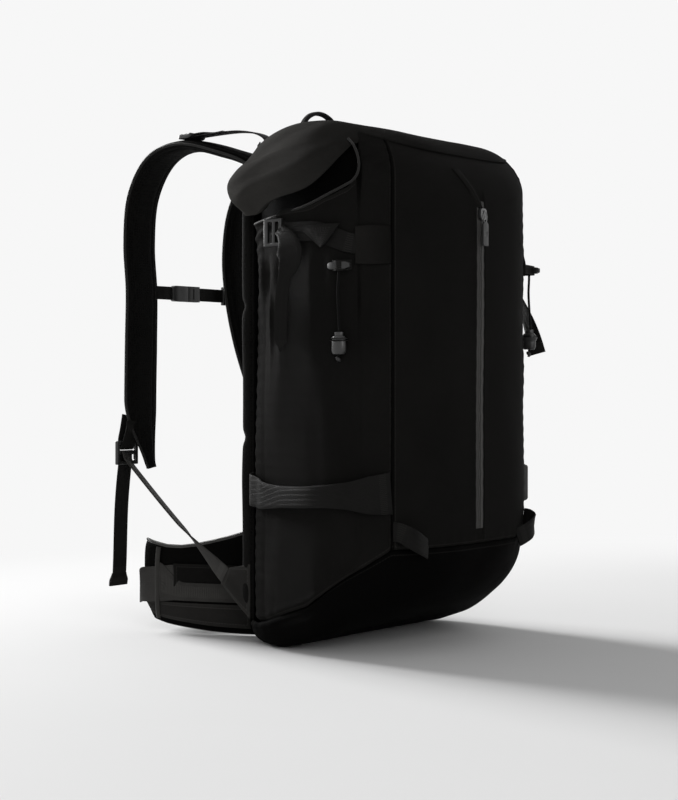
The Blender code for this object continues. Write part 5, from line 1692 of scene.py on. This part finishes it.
# ------------------------------------------------ buckles


def framed_plate(name, low, high, through, windows, round_by=0.0011):
    """A moulded plate with windows through it along one axis. A window is (a0, a1, z0, z1)."""
    thing = block(name, low, high)
    other = 1 - through
    start_edit(thing)
    for axis, first in ((other, 0), (2, 2)):
        slice_at(axis, sorted({place for w in windows for place in w[first:first + 2]}))
    for a0, a1, z0, z1 in windows:
        choose_faces(thing, lambda c, n: abs(n[through]) > 0.9 and a0 < c[other] < a1 and z0 < c.z < z1)
        bpy.ops.mesh.bridge_edge_loops()
    soften(thing, round_by, 3)
    return coat(thing, PLASTIC)


def ladder_locks():
    """The three-bar buckles at the feet of the shoulder straps, with a lip to tilt them by."""
    bar = 0.0042
    for word, side in SIDES.items():
        low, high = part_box(f"ladder_lock_{word}")
        gap = (high.z - low.z - 3 * bar) / 2
        inner = (low.x + bar, high.x - bar)
        windows = [(*inner, low.z + bar, low.z + bar + gap), (*inner, high.z - bar - gap, high.z - bar)]
        plate = framed_plate(f"ladder_buckle_{word}", low, high, 1, windows)
        lip = block(f"lock_lip_{word}", (low.x + 0.006, high.y - 0.0012, low.z - 0.0002),
                    (high.x - 0.006, high.y + 0.0030, low.z + 0.0030))
        start_edit(lip)
        slice_at(0, interior(low.x, high.x, 0.35, 0.5, 0.65))
        choose_faces(lip, lambda c, n: n.y > 0.9)
        bpy.ops.transform.translate(value=(0, 0.0006, -0.0012))
        bpy.ops.transform.resize(value=(0.82, 1, 0.7), center_override=((low.x + high.x) / 2, high.y, low.z))
        soften(lip, 0.0008, 3)
        body = f"ladder_lock_{word}"
        settle(coat(join(plate, lip), PLASTIC), body, "buckle_plastic", body)
        strap_loop(word, side, low, high)


def strap_loop(word, side, low, high):
    """The stitched turn of webbing that holds the ladder lock to the shoulder strap's foot."""
    x, top = (low.x + high.x) / 2, high.z - 0.0021
    route = ((x - side * 0.006, low.y + 0.0062, top + 0.030), (x - side * 0.003, low.y + 0.0064, top + 0.014),
             (x, high.y + 0.0016, top + 0.001), (x, (low.y + high.y) / 2 + 0.0006, top - 0.0072),
             (x, low.y - 0.0014, top + 0.001), (x - side * 0.002, low.y - 0.0036, top + 0.012),
             (x - side * 0.004, low.y - 0.0046, top + 0.024))
    strap(f"lock_keeper_{word}", curve_through(route, 7), (1, 0, 0), 0.0185, thickness=0.0013, held="folded")


def lifter_buckles():
    rail = 0.0034
    for word in SIDES:
        low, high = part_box(f"lifter_buckle_{word}")
        ys = interior(low.y, high.y, 0.18, 0.44, 0.60, 0.84)
        x0, x1 = low.x + rail, high.x - rail
        thing = block(f"lifter_lock_{word}", low, high)
        start_edit(thing)
        slice_at(1, ys)
        slice_at(0, [x0, x1])
        for y0, y1 in (ys[:2], ys[2:]):
            choose_faces(thing, lambda c, n: abs(n.z) > 0.9 and y0 < c.y < y1 and x0 < c.x < x1)
            bpy.ops.mesh.bridge_edge_loops()
        choose_faces(thing, lambda c, n: n.y < -0.9)
        bpy.ops.transform.translate(value=(0, 0, 0.0014))
        soften(thing, 0.0010, 3)
        settle(coat(thing, PLASTIC), "pack", "buckle_plastic", f"lifter_buckle_{word}")


def side_buckles():
    """The flat ladder buckles of the side straps."""
    rail = 0.0036
    for word in SIDES:
        low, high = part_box(f"side_buckle_{word}")
        windows = [(low.y + a, low.y + b, low.z + rail, high.z - rail)
                   for a, b in ((0.0036, 0.0090), (0.0126, 0.0190))]
        thing = framed_plate(f"side_lock_{word}", low, high, 0, windows)
        settle(thing, f"compression_{word}", "buckle_plastic", f"side_buckle_{word}")


def release_socket(name, node, body):
    """The hollow half of a side-release buckle, open towards +X, its windows showing the prongs."""
    low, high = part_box(node)
    size, middle = high - low, (low + high) / 2
    thing = block(name, low, high)
    x0, x1, x2 = interior(low.x, high.x, 0.30, 0.34, 0.72)
    z0, z1 = interior(low.z, high.z, 0.2, 0.8)
    skin = 0.0004
    start_edit(thing)
    slice_at(0, interior(low.x, high.x, 0.14, 0.34, 0.72))
    slice_at(2, [z0, z1])
    slice_at(1, [middle.y])
    choose_faces(thing, lambda c, n: n.x > 0.9)
    bpy.ops.mesh.inset(thickness=size.y * 0.17)
    pull((-size.x * 0.62, 0, 0))
    sink(thing, lambda c, n: abs(n.z) > 0.9 and x1 < c.x < x2 and not low.z + skin <= c.z <= high.z - skin,
         size.y * 0.10, size.z * 0.10)
    sink(thing, lambda c, n: (n.y > 0.9 and x0 < c.x < high.x - 0.001 and z0 < c.z < z1
                              and c.y > high.y - skin), size.z * 0.05, 0.0005)
    resize(thing, lambda c, n: n.x < -0.9 and c.x < low.x + 0.0003, (1, 0.7, 0.84), middle)
    soften(thing, 0.0006)
    settle(coat(thing, PLASTIC), body, "buckle_plastic", node)


def release_plug(name, node, body, mouth=0.001):
    """The other half: a body with a bar for the webbing, and a tongue between two springy prongs."""
    low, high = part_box(node)
    size, middle = high - low, (low + high) / 2
    start = mouth + 0.0003
    thing = block(name, (start, low.y, low.z), high)
    x0, x1 = interior(start, high.x, 0.30, 0.55)
    z0, z1 = interior(low.z, high.z, 0.12, 0.88)
    start_edit(thing)
    slice_at(0, interior(start, high.x, 0.30, 0.55, 0.82))
    slice_at(2, [z0, z1])
    choose_faces(thing, lambda c, n: n.x > 0.9)
    bpy.ops.mesh.inset(thickness=size.y * 0.30)
    pull(((start - high.x) * 0.55, 0, 0))
    sink(thing, lambda c, n: abs(n.y) > 0.9 and x0 < c.x < x1 and z0 < c.z < z1, size.y * 0.08, size.y * 0.12)
    soften(thing, 0.0006)
    parts = []
    for share, reach, thick in ((-0.36, 1.0, 0.075), (0.0, 0.82, 0.10), (0.36, 1.0, 0.075)):
        tip = Vector((lerp(mouth, low.x, reach), middle.y, middle.z + size.z * share))
        half = Vector((0, size.y * 0.21, size.z * thick))
        root = Vector((start + 0.0006, tip.y, tip.z))
        prong = block(f"{name}_prong", tip - half, root + half)
        start_edit(prong)
        slice_at(0, interior(tip.x, start, 0.22, 0.45, 0.8))
        resize(prong, lambda c, n: n.x < -0.9, (1, 0.5, 0.45), tip)
        soften(prong, 0.0004)
        parts.append(prong)
    settle(coat(join(thing, *parts), PLASTIC), body, "buckle_plastic", node)


def chest_strap():
    """Webbing between the two sliders, with a small buckle in the middle."""
    release_socket("chest_socket", "sternum_socket", "chest_left")
    release_plug("chest_prongs", "sternum_plug", "chest_plug")
    for word, side in SIDES.items():
        low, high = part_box(f"sternum_strap_{word}")
        y, z = (low.y + high.y) / 2, (low.z + high.z) / 2
        inner = (low.x if side > 0 else high.x) + side * 0.0002
        path = [(lerp(side * 0.0640, inner, k / 10), y + 0.0005 * sin(pi * k / 5), z) for k in range(11)]
        strap(f"chest_webbing_{word}", curve_through(path, 3), (0, 0, 1), 0.0155, f"sternum_strap_{word}",
              body=f"chest_{word}", steps=24)
        chest_slider(word)


def chest_slider(word):
    """The clip that holds the chest strap on the shoulder strap's rail."""
    low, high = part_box(f"sternum_slider_{word}")
    z0, z1 = interior(low.z, high.z, 0.14, 0.86)
    x0, x1 = low.x + 0.0030, high.x - 0.0030
    thing = framed_plate(f"chest_clip_{word}", low, high, 1, [(x0, x1, z0, z1)], 0.0009)
    bar = block(f"chest_clip_bar_{word}", (x0 + 0.0021, low.y + 0.0012, low.z + 0.001),
                (x1 - 0.0021, high.y - 0.0012, high.z - 0.001))
    start_edit(bar)
    slice_at(2, [z0, z1])
    choose_faces(bar, lambda c, n: n.y > 0.9 and z0 < c.z < z1)
    bpy.ops.mesh.inset(thickness=0.0003)
    soften(bar, 0.0003)
    settle(coat(join(thing, bar), PLASTIC), f"chest_{word}", "buckle_plastic", f"sternum_slider_{word}")


def belt_buckle():
    release_socket("belt_socket", "hip_socket", "belt_left")
    release_plug("belt_prongs", "hip_plug", "belt_right")


# ------------------------------------------------ inside the bag


def inside():
    """The frame sheet and stay keep their own shapes, and the sleeve before them is cloth."""
    coat(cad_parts["frame_sheet"], SHEET)
    coat(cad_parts["frame_stay"], STAY)
    low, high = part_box("sleeve")

    def place(u, v):
        x, z = lerp(low.x, high.x, u), lerp(low.z, high.z, v)
        slack = 0.0035 * smooth((v - 0.6) / 0.4) * sin(pi * u)
        slack += 0.0006 * noise.noise(Vector((x * 25, z * 12, 0)))
        return Vector((x, low.y + 0.0002 - slack, z))

    panel("water_sleeve", place, shares(40), shares(60), 0.0008, SLEEVE, (high.x - low.x, high.z - low.z),
          "sleeve", slot="lining", held="hung")


# ------------------------------------------------ the harness is made

for make in (shoulder_straps, back_pad, lumbar, wings, lower_webbing, lifter_straps, compression_straps,
             ski_bands, axe_loops, haul_loop, keepers, ladder_locks, lifter_buckles, side_buckles,
             chest_strap, belt_buckle, inside):
    make()

bpy.context.scene.view_settings.view_transform = "Standard"
